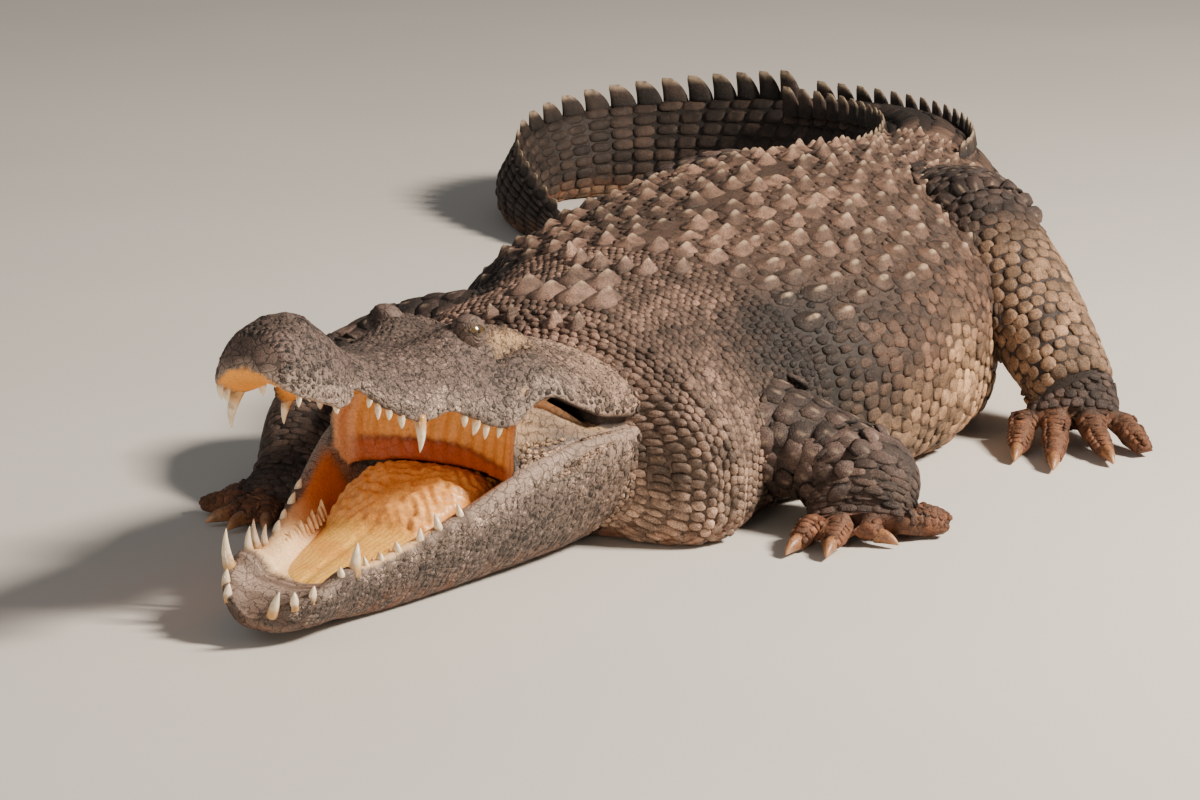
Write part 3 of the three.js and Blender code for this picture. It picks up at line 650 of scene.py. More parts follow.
# %% Tooth places and the outside of the skull
# Behind the snout tip, length shown, width at the gum, lean outwards.
UPPER_TEETH = {
    "left": MM * np.array([
        [46, 10, 8, 1], [104, 8, 9, 1], [178, 9, 8, 1], [188, 13, 9, 1], [203, 8, 10, 1],
        [219, 15, 10, 2], [245, 40, 16, 3], [320, 15, 11, 1], [340, 18, 11, 1],
        [356, 13, 10, 0], [376, 10, 9, 0],
    ]),
    "right": MM * np.array([
        [46, 12, 8, 1], [72, 12, 10, 1], [105, 50, 16, 3], [140, 10, 9, 1], [158, 9, 9, 1],
        [244, 26, 13, 2], [300, 14, 10, 1], [350, 12, 10, 1],
    ]),
}
LOWER_TEETH = {
    "left": MM * np.array([
        [35, 34, 14, 3], [50, 14, 12, 1], [68, 12, 11, 1], [110, 11, 11, 1], [133, 44, 17, 2],
        [160, 10, 9, 0], [184, 9, 9, 0], [210, 10, 10, 0], [240, 15, 10, 0], [268, 17, 11, 0],
        [300, 13, 10, 0],
    ]),
    "right": MM * np.array([
        [45, 14, 11, 1], [66, 15, 11, 1], [95, 42, 16, 3], [140, 28, 12, 2], [157, 40, 13, 3],
        [173, 28, 11, 2], [210, 17, 10, 0], [240, 15, 10, 0], [272, 14, 10, 0],
        [304, 12, 10, 0],
    ]),
}


def gum_bulge(back, rows):
    """Swelling of the lip outside each tooth of the rows: 1 at a broad tooth and 0 between."""
    near = np.abs(np.asarray(back)[..., None] - rows[:, 0])
    return (bell(near, 11 * MM) * rows[:, 2] / (16 * MM)).max(-1)


def skull_outer(back, t, inset):
    """The outside of the upper jaw. Across, the half-width times the cosine of t to a power.
    Up, the lip plus the share of the rise that the sine of t gives, and then the bosses."""
    w, top, lip, fall = (along(SKULL, c, back) for c in range(1, 5))
    rise = np.abs(np.sin(t))
    x = (w - inset) * signed_power(np.cos(t), SKULL_POWER)
    side = np.abs(x)
    bulge = gum_bulge(back, UPPER_TEETH["left"]) * (1 - ramp(rise, 0.0, 0.55))
    nose = 8.5 * MM * bell(np.hypot(x, back - 84 * MM), 38 * MM)
    brow = 21 * MM * bell(np.hypot(side - 46 * MM, (back - 374 * MM) * 0.6), 25 * MM)
    table = 14 * MM * bell(side - 62 * MM, 24 * MM) * bell(back - 450 * MM, 50 * MM)
    up = lip + (top - inset - lip) * rise**fall + (nose + brow + table) * rise
    nostril = np.hypot((side - 15 * MM), (back - 74 * MM) * 0.8)
    up = up + 3.5 * MM * bell(nostril - 11 * MM, 4 * MM) - 11 * MM * bell(nostril, 7 * MM)
    up = up - 5 * MM * bell(np.hypot(side - 36 * MM, (back - 446 * MM) * 0.7), 15 * MM)
    x = x * (1 - 0.05 * bell(back - 153 * MM, 5 * MM) * (1 - ramp(rise, 0.7, 0.95)))
    slit = bell(side - 90 * MM, 5 * MM) * ramp(back, 0.392, 0.402) * (1 - ramp(back, 0.462, 0.476))
    ridge = bell(side - 79 * MM, 6 * MM) * ramp(back, 0.388, 0.402) * (1 - ramp(back, 0.45, 0.47))
    up = up - 9 * MM * slit + 5 * MM * ridge
    corner = bell(np.hypot(side - 64 * MM, (back - 414 * MM) * 0.8), 12 * MM)
    rugged = np.sin(back * 270 + 2 * np.sin(side * 90)) * np.sin(side * 230 + 1.4)
    bony = ramp(back, 0.27, 0.34) * (1 - ramp(back, 0.47, 0.52)) * ramp(rise, 0.45, 0.75)
    up = up + (6 * corner + 2.0 * rugged * bony) * MM
    up = up + 4 * MM * bell(np.hypot(side - 30 * MM, (back - 305 * MM) * 0.25), 9 * MM)
    up = up - 3 * MM * bell(side, 9 * MM) * bell(back - 330 * MM, 60 * MM)
    x = x * (1 + 0.03 * bulge)
    up = up - 3 * MM * bulge
    return x, up


def skull_ring(back, inset, around, roof=48):
    """Closed rings: the outside from the left lip over to the right lip, then the palate back,
    which is arched by one minus the square of its share across."""
    back = np.asarray(back)[:, None]
    w, top, lip = (along(SKULL, c, back) for c in range(1, 4))
    t = np.linspace(0, np.pi, around)[None, :]
    x, up = skull_outer(back, t, inset)
    rim = np.minimum(14 * MM, 0.2 * w)
    f = np.linspace(-1, 1, roof)[None, 1:-1]
    vault = np.minimum(1, back / 0.130) * (18 * MM - np.minimum(lip, 6 * MM) / 2)
    arch = lip + 4 * MM + vault * (1 - f**2)
    folds = 1.2 * MM * np.sin(back * 420) * (1 - f**4)
    roof_up = np.minimum(arch, top - 12 * MM) + folds
    both_x = np.concatenate([x, (w - rim) * f], axis=1)
    return skull_point(both_x, back + 0 * both_x, np.concatenate([up, roof_up], axis=1))


def mandible_outer(back, t, inset):
    """The outside of the lower jaw from its underside (t = 0) up to the rim of the teeth."""
    w, rim, under = (along(MANDIBLE, c, back) for c in range(1, 4))
    bulge = gum_bulge(back, LOWER_TEETH["left"]) * ramp(t, 0.9, 1.5)
    x = (w - inset) * np.abs(np.sin(t)) ** 0.5 * (1 + 0.03 * bulge)
    low = under + inset
    up = low + (rim - low) * (1 - np.cos(t)) ** 0.9 + 3 * MM * bulge
    return x, up


def mandible_ring(back, inset, around=52, within=40):
    """Closed rings of the lower jaw: up the left outside, over the gum into the trough of the
    mouth, and the same on the right."""
    back = np.asarray(back)[:, None]
    w, rim, floor = (along(MANDIBLE, c, back) for c in (1, 2, 4))
    x, up = mandible_outer(back, np.linspace(0, np.pi / 2, around)[None, :], inset)
    thick = np.minimum(26 * MM, 0.42 * w)
    knots_x = np.concatenate(
        [x[:, -1:], w - 0.5 * thick, w - thick, (w - thick) * 0.8, 0 * w], axis=1)
    knots_up = np.concatenate([
        up[:, -1:], rim + 3 * MM, rim - 4 * MM, np.minimum(rim - 10 * MM, floor + 6 * MM),
        np.minimum(rim - 14 * MM, floor)], axis=1)
    share = np.linspace(0, 4, within)[1:]
    low = np.clip(share.astype(int), 0, 3)
    f = share - low
    inner_x = knots_x[:, low] * (1 - f) + knots_x[:, low + 1] * f
    inner_up = knots_up[:, low] * (1 - f) + knots_up[:, low + 1] * f
    left_x, left_up = np.concatenate([x, inner_x], axis=1), np.concatenate([up, inner_up], axis=1)
    both_x = np.concatenate([left_x, -left_x[:, -2:0:-1]], axis=1)
    both_up = np.concatenate([left_up, left_up[:, -2:0:-1]], axis=1)
    return mandible_point(both_x, back + 0 * both_x, both_up)


# %% The cheek's stretched skin
GAPE = {"corner": 396 * MM, "throat": 440 * MM, "rear": 556 * MM, "inset": 5 * MM}
GAPE_BELOW = math.radians(4)  # how far it starts below the lower jaw's line
GAPE_EXTRA = math.radians(18)  # how much wider it opens than the jaws


def gape_front(across, share):
    """The front of the wedge of skin between the jaws, across from -1 (right) to 1 (left) and
    share from the lower jaw to the upper: hollowed towards the throat by the square of the
    place across, with upright pleats that open and close with the jaws."""
    pleats = 3.5 * MM * np.sin(across * 46 + 3 * np.sin(share * 4)) * np.sin(np.pi * share)
    sag = 14 * MM * np.sin(np.pi * share) * (1 - np.abs(across) ** 6)
    return GAPE["throat"] + (GAPE["corner"] - GAPE["throat"]) * across**2 + pleats + sag


def gape_point(across, share, back, inset):
    """A point of the wedge: as wide as the narrower jaw there, at an angle about the jaw joint
    from just below the lower jaw's line to just above the upper jaw's."""
    wide = np.minimum(along(SKULL, 1, back), along(MANDIBLE, 1, back)) - GAPE["inset"] - inset
    angle = -MANDIBLE_DROP - GAPE_BELOW + (
        SNOUT_LIFT + MANDIBLE_DROP + GAPE_EXTRA) * share
    return head_point(across * wide, back, 0 * back, angle)


def gape_rings(slices, upright, inset):
    """Closed rings across the mouth from the right cheek to the left."""
    across = (np.sin(np.linspace(-np.pi / 2, np.pi / 2, slices)))[:, None]
    share = np.linspace(0, 1, upright)[None, :]
    front = gape_point(across + 0 * share, share + 0 * across, gape_front(across, share), inset)
    rear_back = GAPE["rear"] + 0 * (across + share)
    rear = gape_point(across + 0 * share, share[:, ::-1] + 0 * across, rear_back, inset)
    return np.concatenate([front, rear], axis=1)


# %% Limbs, palms and toes
def limb_rings(stations, sections, around, inset, ends=None):
    """Rings of a limb through stations of x, y, z, half-width and half-height: ovals across a
    smooth path, kept level from side to side and never below the floor. A round end runs on by
    its share of the half-width, and narrows by 2.75 times the square of the share run so far."""
    stations = np.array(stations, dtype=float) * MM
    table = np.column_stack([np.arange(len(stations)), stations])
    f = np.linspace(0, len(stations) - 1, sections)
    middle = np.stack([along(table, c, f) for c in (1, 2, 3)], axis=-1)
    wide, tall = along(table, 4, f), along(table, 5, f)
    ahead = unit(np.gradient(middle, axis=0))
    side = unit(np.stack([ahead[:, 1], -ahead[:, 0], 0 * ahead[:, 0]], axis=-1))
    up = np.cross(side, ahead)
    if ends:
        steps = np.linspace(0.25, 1, 4)
        pick = np.concatenate([[0] * 4, np.arange(sections), [sections - 1] * 4])
        beyond = np.concatenate([-ends[0] * steps[::-1], 0 * f, ends[1] * steps])
        middle = middle[pick] + ahead[pick] * (beyond * wide[pick])[:, None]
        wide, tall = (a[pick] * (1 - 2.75 * beyond**2) for a in (wide, tall))
        side, up = side[pick], up[pick]
    t = np.linspace(0, 2 * np.pi, around, endpoint=False)
    rings = (
        middle[:, None] + side[:, None] * ((wide - inset)[:, None] * np.cos(t))[..., None]
        + up[:, None] * ((tall - inset)[:, None] * np.sin(t))[..., None]
    )
    rings[..., 2] = np.maximum(LEAST_HEIGHT, rings[..., 2])
    return rings + ORIGIN


ROUND_ENDS = {"upper": (0.42, 0.42), "lower": (0.42, 0.22), "palm": None}


def toe_root(palm, toe):
    """Where a toe starts: its own place beside the palm, or the middle of the palm's end."""
    return np.array(toe[3:5] if len(toe) > 3 else palm[-1][:2], dtype=float)


def toe_stations(palm, toe):
    """Stations of one toe, from the palm out to its tip or to the root of its claw. It sinks
    and narrows on the way, and swells and narrows by 1.5 mm at each of its knuckles."""
    root, tip = toe_root(palm, toe), np.array(toe[:2], dtype=float)
    ahead = (tip - root) / np.linalg.norm(tip - root)
    reach = np.linalg.norm(tip - root) - (0.7 * CLAW_LENGTH / MM if toe[2] else 0)
    shares = np.array([-4 / reach, 0.14, 0.30, 0.46, 0.62, 0.80, 1.0])
    knuckles = np.array([0, 1.5, -1.0, 1.5, -1.0, 1.0, -1.0])
    places = root + ahead * (shares * reach)[:, None]
    heights, widths, talls = (
        np.interp(shares, [0, 0.6, 1.0], values)
        for values in ([palm[-1][2], 18, 11], [21, 18, 13], [17, 17, 11]))
    return np.column_stack([places, heights, widths + knuckles, talls + knuckles])


# %% [markdown]
# ## One skin from many shells
#
# Closed shells of the head, body, legs and toes overlap like clay rolls pressed together. A
# voxel remesh keeps only their outer surface, so that no seam is left where a leg leaves the
# trunk, and a little smoothing rounds the joins. The skin lies inside the solids by the depth
# of the scales that will cover it.

# %% Gather the shells
SCALE_LEG = 5 * MM
shells = Shells()

body_t = np.linspace(0, 2 * np.pi, 128, endpoint=False)[None, :]
body_s = np.concatenate([
    np.arange(0.016, 0.4, 0.004), np.arange(0.4, 2.9, 0.007),
    np.arange(2.9, BODY[-1, 0] - 0.004, 0.004)])[:, None]
depth = coat_depth(body_s, body_t) * np.clip(along(BODY, 1, body_s) / (60 * MM), 0.25, 1)
body_rings = body_point(body_s, body_t, depth)
body_rings[..., 2] = np.maximum(LEAST_HEIGHT, body_rings[..., 2])
body_share = np.abs(((body_t - np.pi / 2 + np.pi) % (2 * np.pi)) - np.pi) / np.pi
shells.add(body_rings, body_tint(body_s, body_share), [0, 1, 0])

skull_back = np.concatenate([
    np.arange(0.012, 0.030, 0.002), np.arange(0.030, 0.660, 0.0035)])
OVER_SKULL = 112
skull_rings = skull_ring(skull_back, 2 * MM, OVER_SKULL)
is_roof = np.arange(skull_rings.shape[1]) >= OVER_SKULL
skull_t = np.linspace(0, np.pi, OVER_SKULL)
on_roof = np.zeros(is_roof.size - OVER_SKULL)
skull_rise = np.append(np.sin(skull_t), on_roof)[None]
skull_side = np.append(np.abs(np.cos(skull_t)) ** SKULL_POWER, on_roof)
skull_side = along(SKULL, 1, skull_back)[:, None] * skull_side[None]
skull_colour = skull_tint(skull_back[:, None], skull_side, skull_rise)
# Painted shade: the palate turns near black at its back, where it meets the throat.
roof_end = ramp(skull_back, 0.385, 0.41)[:, None]
roof_colour = mix(PALATE_YELLOW, STAIN_AND_SHADE, roof_end)
skull_colour = np.where(is_roof[None, :, None], roof_colour, skull_colour)
roof_share = is_roof * (1 - roof_end)
skull_facts = np.stack([roof_share, 1 - roof_share, 0 * roof_share + 1], axis=-1)
shells.add(skull_rings, skull_colour, skull_facts)

jaw_back = np.concatenate([np.arange(0.030, 0.050, 0.002), np.arange(0.050, 0.660, 0.0035)])
jaw_rings = mandible_ring(jaw_back, 2 * MM)
jaw_rings[..., 2] = np.maximum(LEAST_HEIGHT, jaw_rings[..., 2])
columns = jaw_rings.shape[1]
inward = np.minimum(np.arange(columns), columns - np.arange(columns))
gum = ramp(inward - 12 * ramp(jaw_back, 0.22, 0.30)[:, None], 50, 56)
jaw_colour = jaw_tint(jaw_back[:, None], 1 - np.clip(inward / 50, 0, 1)[None])
# The gum turns from cream to orange towards the back: partly the mouth's own colour, partly painted
# shade deeper in the mouth.
gum_colour = mix(GUM_CREAM, GUM_ORANGE_AND_SHADE, ramp(jaw_back, 0.21, 0.32))[:, None]
shelf = ramp(jaw_back, 0.128, 0.15) * (1 - ramp(jaw_back, 0.37, 0.40))
shelf = (shelf[:, None] * gum)[..., None]
jaw_colour = jaw_colour * (1 - shelf) + gum_colour * shelf
jaw_facts = np.concatenate([shelf, 1 - shelf, 0 * shelf + 1], axis=-1)
shells.add(jaw_rings, jaw_colour, jaw_facts)

UP_GAPE = 40
gape = gape_rings(120, UP_GAPE, 2 * MM)
gape_across = np.sin(np.linspace(-np.pi / 2, np.pi / 2, len(gape)))[:, None]
gape_share = np.append(np.linspace(0, 1, UP_GAPE), np.linspace(1, 0, UP_GAPE))[None]
in_front = (np.arange(2 * UP_GAPE) < UP_GAPE)[None]
lining = in_front * (1 - ramp(np.abs(gape_across), 0.93, 0.97))
fold_at = 0.26 - 0.12 * ramp(gape_across, 0.0, 0.7)
wall = mix(FOLD_RED, WALL_YELLOW, ramp(gape_share - fold_at, -0.01, 0.05))
# Painted shade: a dark line along the fold of the wall.
wall = mix(wall, FOLD_SHADE, 0.85 * bell(gape_share - fold_at, 0.026))
wall = mix(wall, WALL_CREAM, ramp(np.abs(gape_across), 0.70, 0.88) + 0 * gape_share)
cheek = mix(JAW_GREY, CHEEK_CREAM, ramp(gape_share, 0.30, 0.62) + 0 * gape_across)
gape_facts = np.stack([lining, 1 - lining, 0 * lining + 1], axis=-1)
shells.add(gape, mix(cheek, wall, lining), gape_facts)

# A roll across the head fills the hinge between the two jaws, coloured near black as painted shade.
HINGE_REACH, HINGE_BACK, HINGE_UP = 0.158, 0.582, 0.004
HINGE_DEPTH, HINGE_HEIGHT = 0.048, 0.040
hinge_s = np.linspace(-HINGE_REACH, HINGE_REACH, 90)[:, None]
hinge_t = np.linspace(0, 2 * np.pi, 40, endpoint=False)[None, :]
hinge_fit = np.sqrt(1 - 0.35 * (hinge_s / HINGE_REACH) ** 4)
hinge = head_point(
    hinge_s + 0 * hinge_t, HINGE_BACK + HINGE_DEPTH * hinge_fit * np.cos(hinge_t),
    HINGE_UP + HINGE_HEIGHT * hinge_fit * np.sin(hinge_t), 0.0)
shells.add(hinge, STAIN_AND_SHADE, [0, 1, 1])

for name, leg in LEGS.items():
    for part in ("upper", "lower", "palm"):
        inset = SCALE_LEG if part != "palm" else 3 * MM
        rings = limb_rings(leg[part], 24, 40, inset, ROUND_ENDS[part])
        shade = {"upper": LEG_DARK, "lower": LEG_DARK, "palm": FOOT_DARK}[part]
        shells.add(rings, shade, [0, 1, 0])
    for toe in leg["toes"]:
        rings = limb_rings(toe_stations(leg["palm"], toe), 40, 24, 2 * MM)
        shells.add(rings, TOE_TAN, [0, 1, 0.6])
print("shell points:", shells.count)


# %% Remesh, smooth and thin
def applied(piece):
    """A new mesh of the piece with its modifiers applied."""
    graph = bpy.context.evaluated_depsgraph_get()
    return bpy.data.meshes.new_from_object(piece.evaluated_get(graph))


def edge_ends(mesh):
    """The two vertices of every edge, as an (n, 2) array."""
    ends = np.empty(len(mesh.edges) * 2, dtype=np.int32)
    mesh.edges.foreach_get("vertices", ends)
    return ends.reshape(-1, 2)


def smoothed(points, ends, share, rounds):
    """Every point moved by its share towards the mean of its neighbours, again and again."""
    counts = np.bincount(ends.ravel(), minlength=len(points))[:, None]
    for _ in range(rounds):
        mean = np.stack([
            np.bincount(ends[:, 0], points[ends[:, 1], k], len(points))
            + np.bincount(ends[:, 1], points[ends[:, 0], k], len(points))
            for k in range(3)], axis=-1) / np.maximum(counts, 1)
        points = points + share[:, None] * (mean - points)
    return points


source = bpy.data.objects.new("shells", shells.mesh("shells"))
bpy.context.scene.collection.objects.link(source)
rough = bpy.data.objects.new("rough", source.data)
bpy.context.scene.collection.objects.link(rough)
remesh = rough.modifiers.new("voxels", "REMESH")
remesh.mode = "VOXEL"
remesh.voxel_size = 3 * MM
remesh.use_smooth_shade = True
hide_mesh = applied(rough)
print("remeshed:", len(hide_mesh.vertices), "points")

# Where shells meet, measured from the jaw joint, and how far round it the skin is smoothed.
JOINS = MM * np.array([
    [235, 270, 120, 110], [-205, 285, 150, 110], [80, 1080, 195, 70], [-150, 1090, 185, 90],
    [355, 274, 66, 60], [380, 220, 44, 45], [-345, 188, 116, 60], [-290, -6, 44, 45],
    [208, 922, 249, 60], [405, 800, 68, 45], [-338, 985, 190, 60], [-445, 1038, 60, 45],
    [185, 60, 70, 60], [-185, 60, 70, 60], [0, 60, 250, 80],
    [160, -118, 136, 34], [166, -60, 146, 40], [168, -10, 150, 40],
    [-160, -118, 136, 34], [-166, -60, 146, 40], [-168, -10, 150, 40],
])
points = positions(hide_mesh)
near_join = np.zeros(len(points))
for *place, reach in JOINS:
    distance = np.linalg.norm(points - (ORIGIN + place), axis=1)
    near_join = np.maximum(near_join, bell(distance, reach))
ends = edge_ends(hide_mesh)
points = smoothed(points, ends, 0.15 + 0.45 * near_join, 14)


def pressed_cheeks(points):
    """The skin pushed in beside the jaw joint: a slit of a pocket under the bar of bone that
    ends the upper jaw, and below it shallow creases that fan out from the joint."""
    q = points - ORIGIN - [0, 0, JAW_JOINT_HEIGHT]
    side = np.abs(q[:, 0])
    forward = -q[:, 1] * math.cos(SNOUT_LIFT) + q[:, 2] * math.sin(SNOUT_LIFT)
    up = q[:, 1] * math.sin(SNOUT_LIFT) + q[:, 2] * math.cos(SNOUT_LIFT)
    back = JAW_LENGTH - forward
    lip = along(SKULL, 3, back)
    outside = ramp(side, 0.105, 0.125)
    slit = bell(up - lip + 9 * MM, 5.5 * MM) * ramp(back, 0.420, 0.445)
    slit = slit * (1 - ramp(back, 0.525, 0.555))
    angle = np.degrees(np.arctan2(q[:, 2], -q[:, 1]))
    reach = np.hypot(q[:, 1], q[:, 2])
    fan = ramp(angle, 6, 12) * (1 - ramp(up - lip, -0.008, 0.002)) * ramp(reach, 0.02, 0.05)
    fan = fan * (1 - ramp(reach, 0.15, 0.18))
    creases = 0.5 + 0.5 * np.sin(np.radians(angle) * 75 + 9 * reach)
    depth = outside * (13 * MM * slit + 2.6 * MM * creases * fan)
    moved = points.copy()
    moved[:, 0] -= np.sign(q[:, 0]) * depth
    return moved


points = pressed_cheeks(points)
points[:, 2] = np.maximum(LEAST_HEIGHT, points[:, 2])
hide_mesh.vertices.foreach_set("co", points.astype(np.float32).ravel())

rough.data = hide_mesh
rough.modifiers.clear()
# The skin is thinned to so many points, and the head, in front of this line, less than the rest.
SKIN_POINTS = 86000
HEAD_BACK, HEAD_WEIGHT, BODY_WEIGHT = ORIGIN[1] + 0.10, 0.45, 1.0
group = rough.vertex_groups.new(name="thin")
weights = np.where(points[:, 1] > HEAD_BACK, BODY_WEIGHT, HEAD_WEIGHT)
for weight in (BODY_WEIGHT, HEAD_WEIGHT):
    group.add(np.flatnonzero(weights == weight).tolist(), weight, "REPLACE")
thin = rough.modifiers.new("thin", "DECIMATE")
thin.ratio = min(1.0, SKIN_POINTS / len(hide_mesh.vertices))
thin.vertex_group = "thin"
thin.vertex_group_factor = 1.0
carry = rough.modifiers.new("carry", "DATA_TRANSFER")
carry.object = source
carry.use_vert_data = True
carry.data_types_verts = {"COLOR_VERTEX"}
carry.vert_mapping = "POLYINTERP_NEAREST"
for mark in ("tint", "facts"):
    rough.data.color_attributes.new(mark, "FLOAT_COLOR", "POINT")
hide_mesh = applied(rough)
hide_mesh.shade_smooth()
print("skin:", len(hide_mesh.vertices), "points,", len(hide_mesh.polygons), "faces")
bpy.data.objects.remove(rough)
bpy.data.objects.remove(source)


# %% [markdown]
# ## Scales as solid mesh
#
# Each scale is a small horny dome: its outline is a rounded rectangle, its rings rise to a
# crown, and on the back a keel runs along it and leans towards the tail. Thousands are made at
# once. Every ring point is looked up on the unrolled surface, so a scale bends with the body
# under it, and the nearest point of the finished skin then says how far to move the whole
# scale, or whether it is buried under a leg and left out.

# %% The scale maker
rng = np.random.default_rng(7)
skin_points = positions(hide_mesh)
skin_tree = BVHTree.FromPolygons(
    skin_points.tolist(), [tuple(p.vertices) for p in hide_mesh.polygons])
coats = {}


def seat(centres, normals, reach):
    """How far each scale moves to lie on the skin, and which scales are kept: those whose
    place is within reach of it and faces the same way as the skin there."""
    moves, kept = np.zeros_like(centres), np.zeros(len(centres), dtype=bool)
    for k, centre in enumerate(centres):
        place, facing, _, gap = skin_tree.find_nearest(centre.tolist())
        if place is None or gap > reach[k] or facing.dot(Vector(normals[k])) < 0.2:
            continue
        moves[k], kept[k] = np.array(place) - centre, True
    return moves, kept


def scale_faces(around, rings):
    """Faces of one scale: quads between its rings, a fan over the crown, one face below."""
    quads = grid_faces(rings, around)[:, ::-1]
    last = (rings - 1) * around
    crown = end_fan(last, around, rings * around, True)[:, ::-1]
    below = np.arange(around)[None, :]
    return quads, crown, below


# Points round the outline, rings as shares of it, squareness, lean to the tail, unevenness, power
# of the dome, tilt up behind, and how many millimetres the edge sinks into the skin.
SCALE_KINDS = {
    "back shield": (16, (1.0, 0.80, 0.55, 0.28), 2.6, 0.22, 1.6, 0.6, 0.0, 2.0),
    "neck shield": (16, (1.0, 0.9, 0.62, 0.34), 3.0, 0.25, 0.6, 0.6, 0.0, 2.0),
    "between": (8, (1.0, 0.6), 2.4, 0.0, 2.0, 0.6, 0.0, 2.0),
    "flank": (10, (1.0, 0.84, 0.45), 3.2, 0.1, 1.8, 0.45, 0.0, 2.0),
    "shoulder": (10, (1.0, 0.7), 2.5, 0.1, 1.5, 0.5, 0.0, 2.0),
    "neck": (10, (1.0, 0.78), 2.9, 0.1, 1.4, 0.5, 0.0, 2.0),
    "under": (8, (1.0, 0.9), 5.0, 0.0, 0.4, 0.6, 0.0, 2.0),
    "tail": (12, (1.0, 0.86, 0.45), 4.5, 0.2, 0.5, 0.6, 0.35, 2.0),
    "jaw": (7, (1.0, 0.84), 2.4, 0.0, 2.6, 0.5, 0.0, 1.0),
    "cheek": (9, (1.0, 0.72), 2.4, 0.0, 1.6, 0.5, 0.0, 1.5),
    "leg": (10, (1.0, 0.86, 0.42), 3.6, 0.2, 1.3, 0.4, 0.0, 2.0),
    "toe": (10, (1.0, 0.7), 3.2, 0.0, 0.6, 0.6, 0.5, 1.5),
}


def add_scales(
        coat, kind, surface, s, share, half_s, half_round, height, keel, tint,
        patch=(0.0, 1.0), reach=11 * MM):
    """Adds scales at (s, share) of a surface. Outline: the superellipse |cos|^n + |sin|^n = 1.
    Height: the crown's (1 - ring^3) to the dome's power plus a keel that is a bell both along
    and across, with its top behind the middle."""
    around, rings, square, lean, jitter, crown, tilt, sink = SCALE_KINDS[kind]
    n = len(s)
    half_s, half_round, height, keel = (
        np.broadcast_to(np.asarray(v, dtype=float), n) for v in (half_s, half_round, height, keel))
    size = 1 + 0.07 * jitter * rng.standard_normal((n, 1, 1))
    angle = np.linspace(0, 2 * np.pi, around, endpoint=False)[None, None, :]
    outline = (np.abs(np.cos(angle)) ** square + np.abs(np.sin(angle)) ** square) ** (-1 / square)
    ring = np.append(rings, 0.0)[None, :, None]
    wobble = 1 + 0.05 * jitter * rng.standard_normal((n, 1, around))
    p = ring * outline * wobble * size * np.cos(angle)
    q = ring * outline * wobble * size * np.sin(angle)
    spin = 0.07 * jitter * rng.standard_normal((n, 1, 1))
    p, q = p - spin * q, q + spin * p
    lift = np.broadcast_to(1 - ring**3, p.shape) ** crown
    ridge = bell(q, 0.34) * bell(p - 0.2, 0.75) * (1 - ring**4)
    tall = 1 + 0.14 * jitter * rng.standard_normal((n, 1, 1))
    rise = (height[:, None, None] * lift * (1 + tilt * p) + keel[:, None, None] * ridge) * tall
    rise = np.where(ring >= 1, -sink * MM, rise)
    shift = 0.1 * jitter * rng.standard_normal((2, n, 1, 1))
    along_it = s[:, None, None] + (p + shift[0]) * half_s[:, None, None] + lean * rise
    girth = np.interp(along_it, surface.stations, surface.girth)
    round_it = share[:, None, None] + (q + shift[1]) * half_round[:, None, None] / girth
    root, normal = surface.at(along_it, round_it)
    centre, centre_normal = root[:, -1, 0], normal[:, -1, 0]
    moves, kept = seat(centre, centre_normal, np.broadcast_to(reach, n))
    points = root + normal * rise[..., None] + moves[:, None, None]
    flat = np.concatenate([points[:, :-1].reshape(n, -1, 3), points[:, -1, :1]], axis=1)[kept]
    facts = np.stack([
        np.broadcast_to(np.clip(lift, 0, 1), p.shape), ridge * np.sign(keel)[:, None, None],
        np.broadcast_to(rng.random((n, 1, 1)), p.shape)], axis=-1)
    facts = np.concatenate([facts[:, :-1].reshape(n, -1, 3), facts[:, -1, :1]], axis=1)[kept]
    colour = np.broadcast_to(tint, (n, 3)) * (1 + 0.10 * rng.standard_normal((n, 1)))
    colour = np.repeat(np.clip(colour, 0.01, 1)[:, None], flat.shape[1], axis=1)[kept]
    low, high = surface.stations[0], surface.stations[-1]
    u = 0.03 + 0.94 * (s - low) / (high - low)
    v = patch[0] + (patch[1] - patch[0]) * (0.03 + 0.94 * share)
    uv = np.stack([u[:, None, None] + 0.0015 * p, v[:, None, None] + 0.0015 * q], axis=-1)
    uv = np.concatenate([uv[:, :-1].reshape(n, -1, 2), uv[:, -1, :1]], axis=1)[kept]
    store = coats.setdefault(coat, [])
    store.append((flat, colour, facts, uv, around, len(rings)))
    return int(kept.sum())


def coat_mesh(name, parts):
    """One mesh of all the scales of a coat, with their marks and their places on the map."""
    points, colours, facts, uvs, polygons, start = [], [], [], [], [], 0
    for flat, colour, fact, uv, around, rings in parts:
        n, each = flat.shape[:2]
        offsets = start + np.arange(n)[:, None, None] * each
        for faces in scale_faces(around, rings):
            polygons.append((faces[None] + offsets).reshape(-1, faces.shape[1]))
        points.append(flat.reshape(-1, 3))
        colours.append(colour.reshape(-1, 3))
        facts.append(fact.reshape(-1, 3))
        uvs.append(uv.reshape(-1, 2))
        start += n * each
    marks = {"tint": np.concatenate(colours), "facts": np.concatenate(facts)}
    points = np.concatenate(points)
    points[:, 2] = np.maximum(points[:, 2], 0.4 * MM)
    mesh = make_mesh(name, points, polygons, marks)
    set_bake_map(mesh, np.concatenate(uvs))
    return mesh


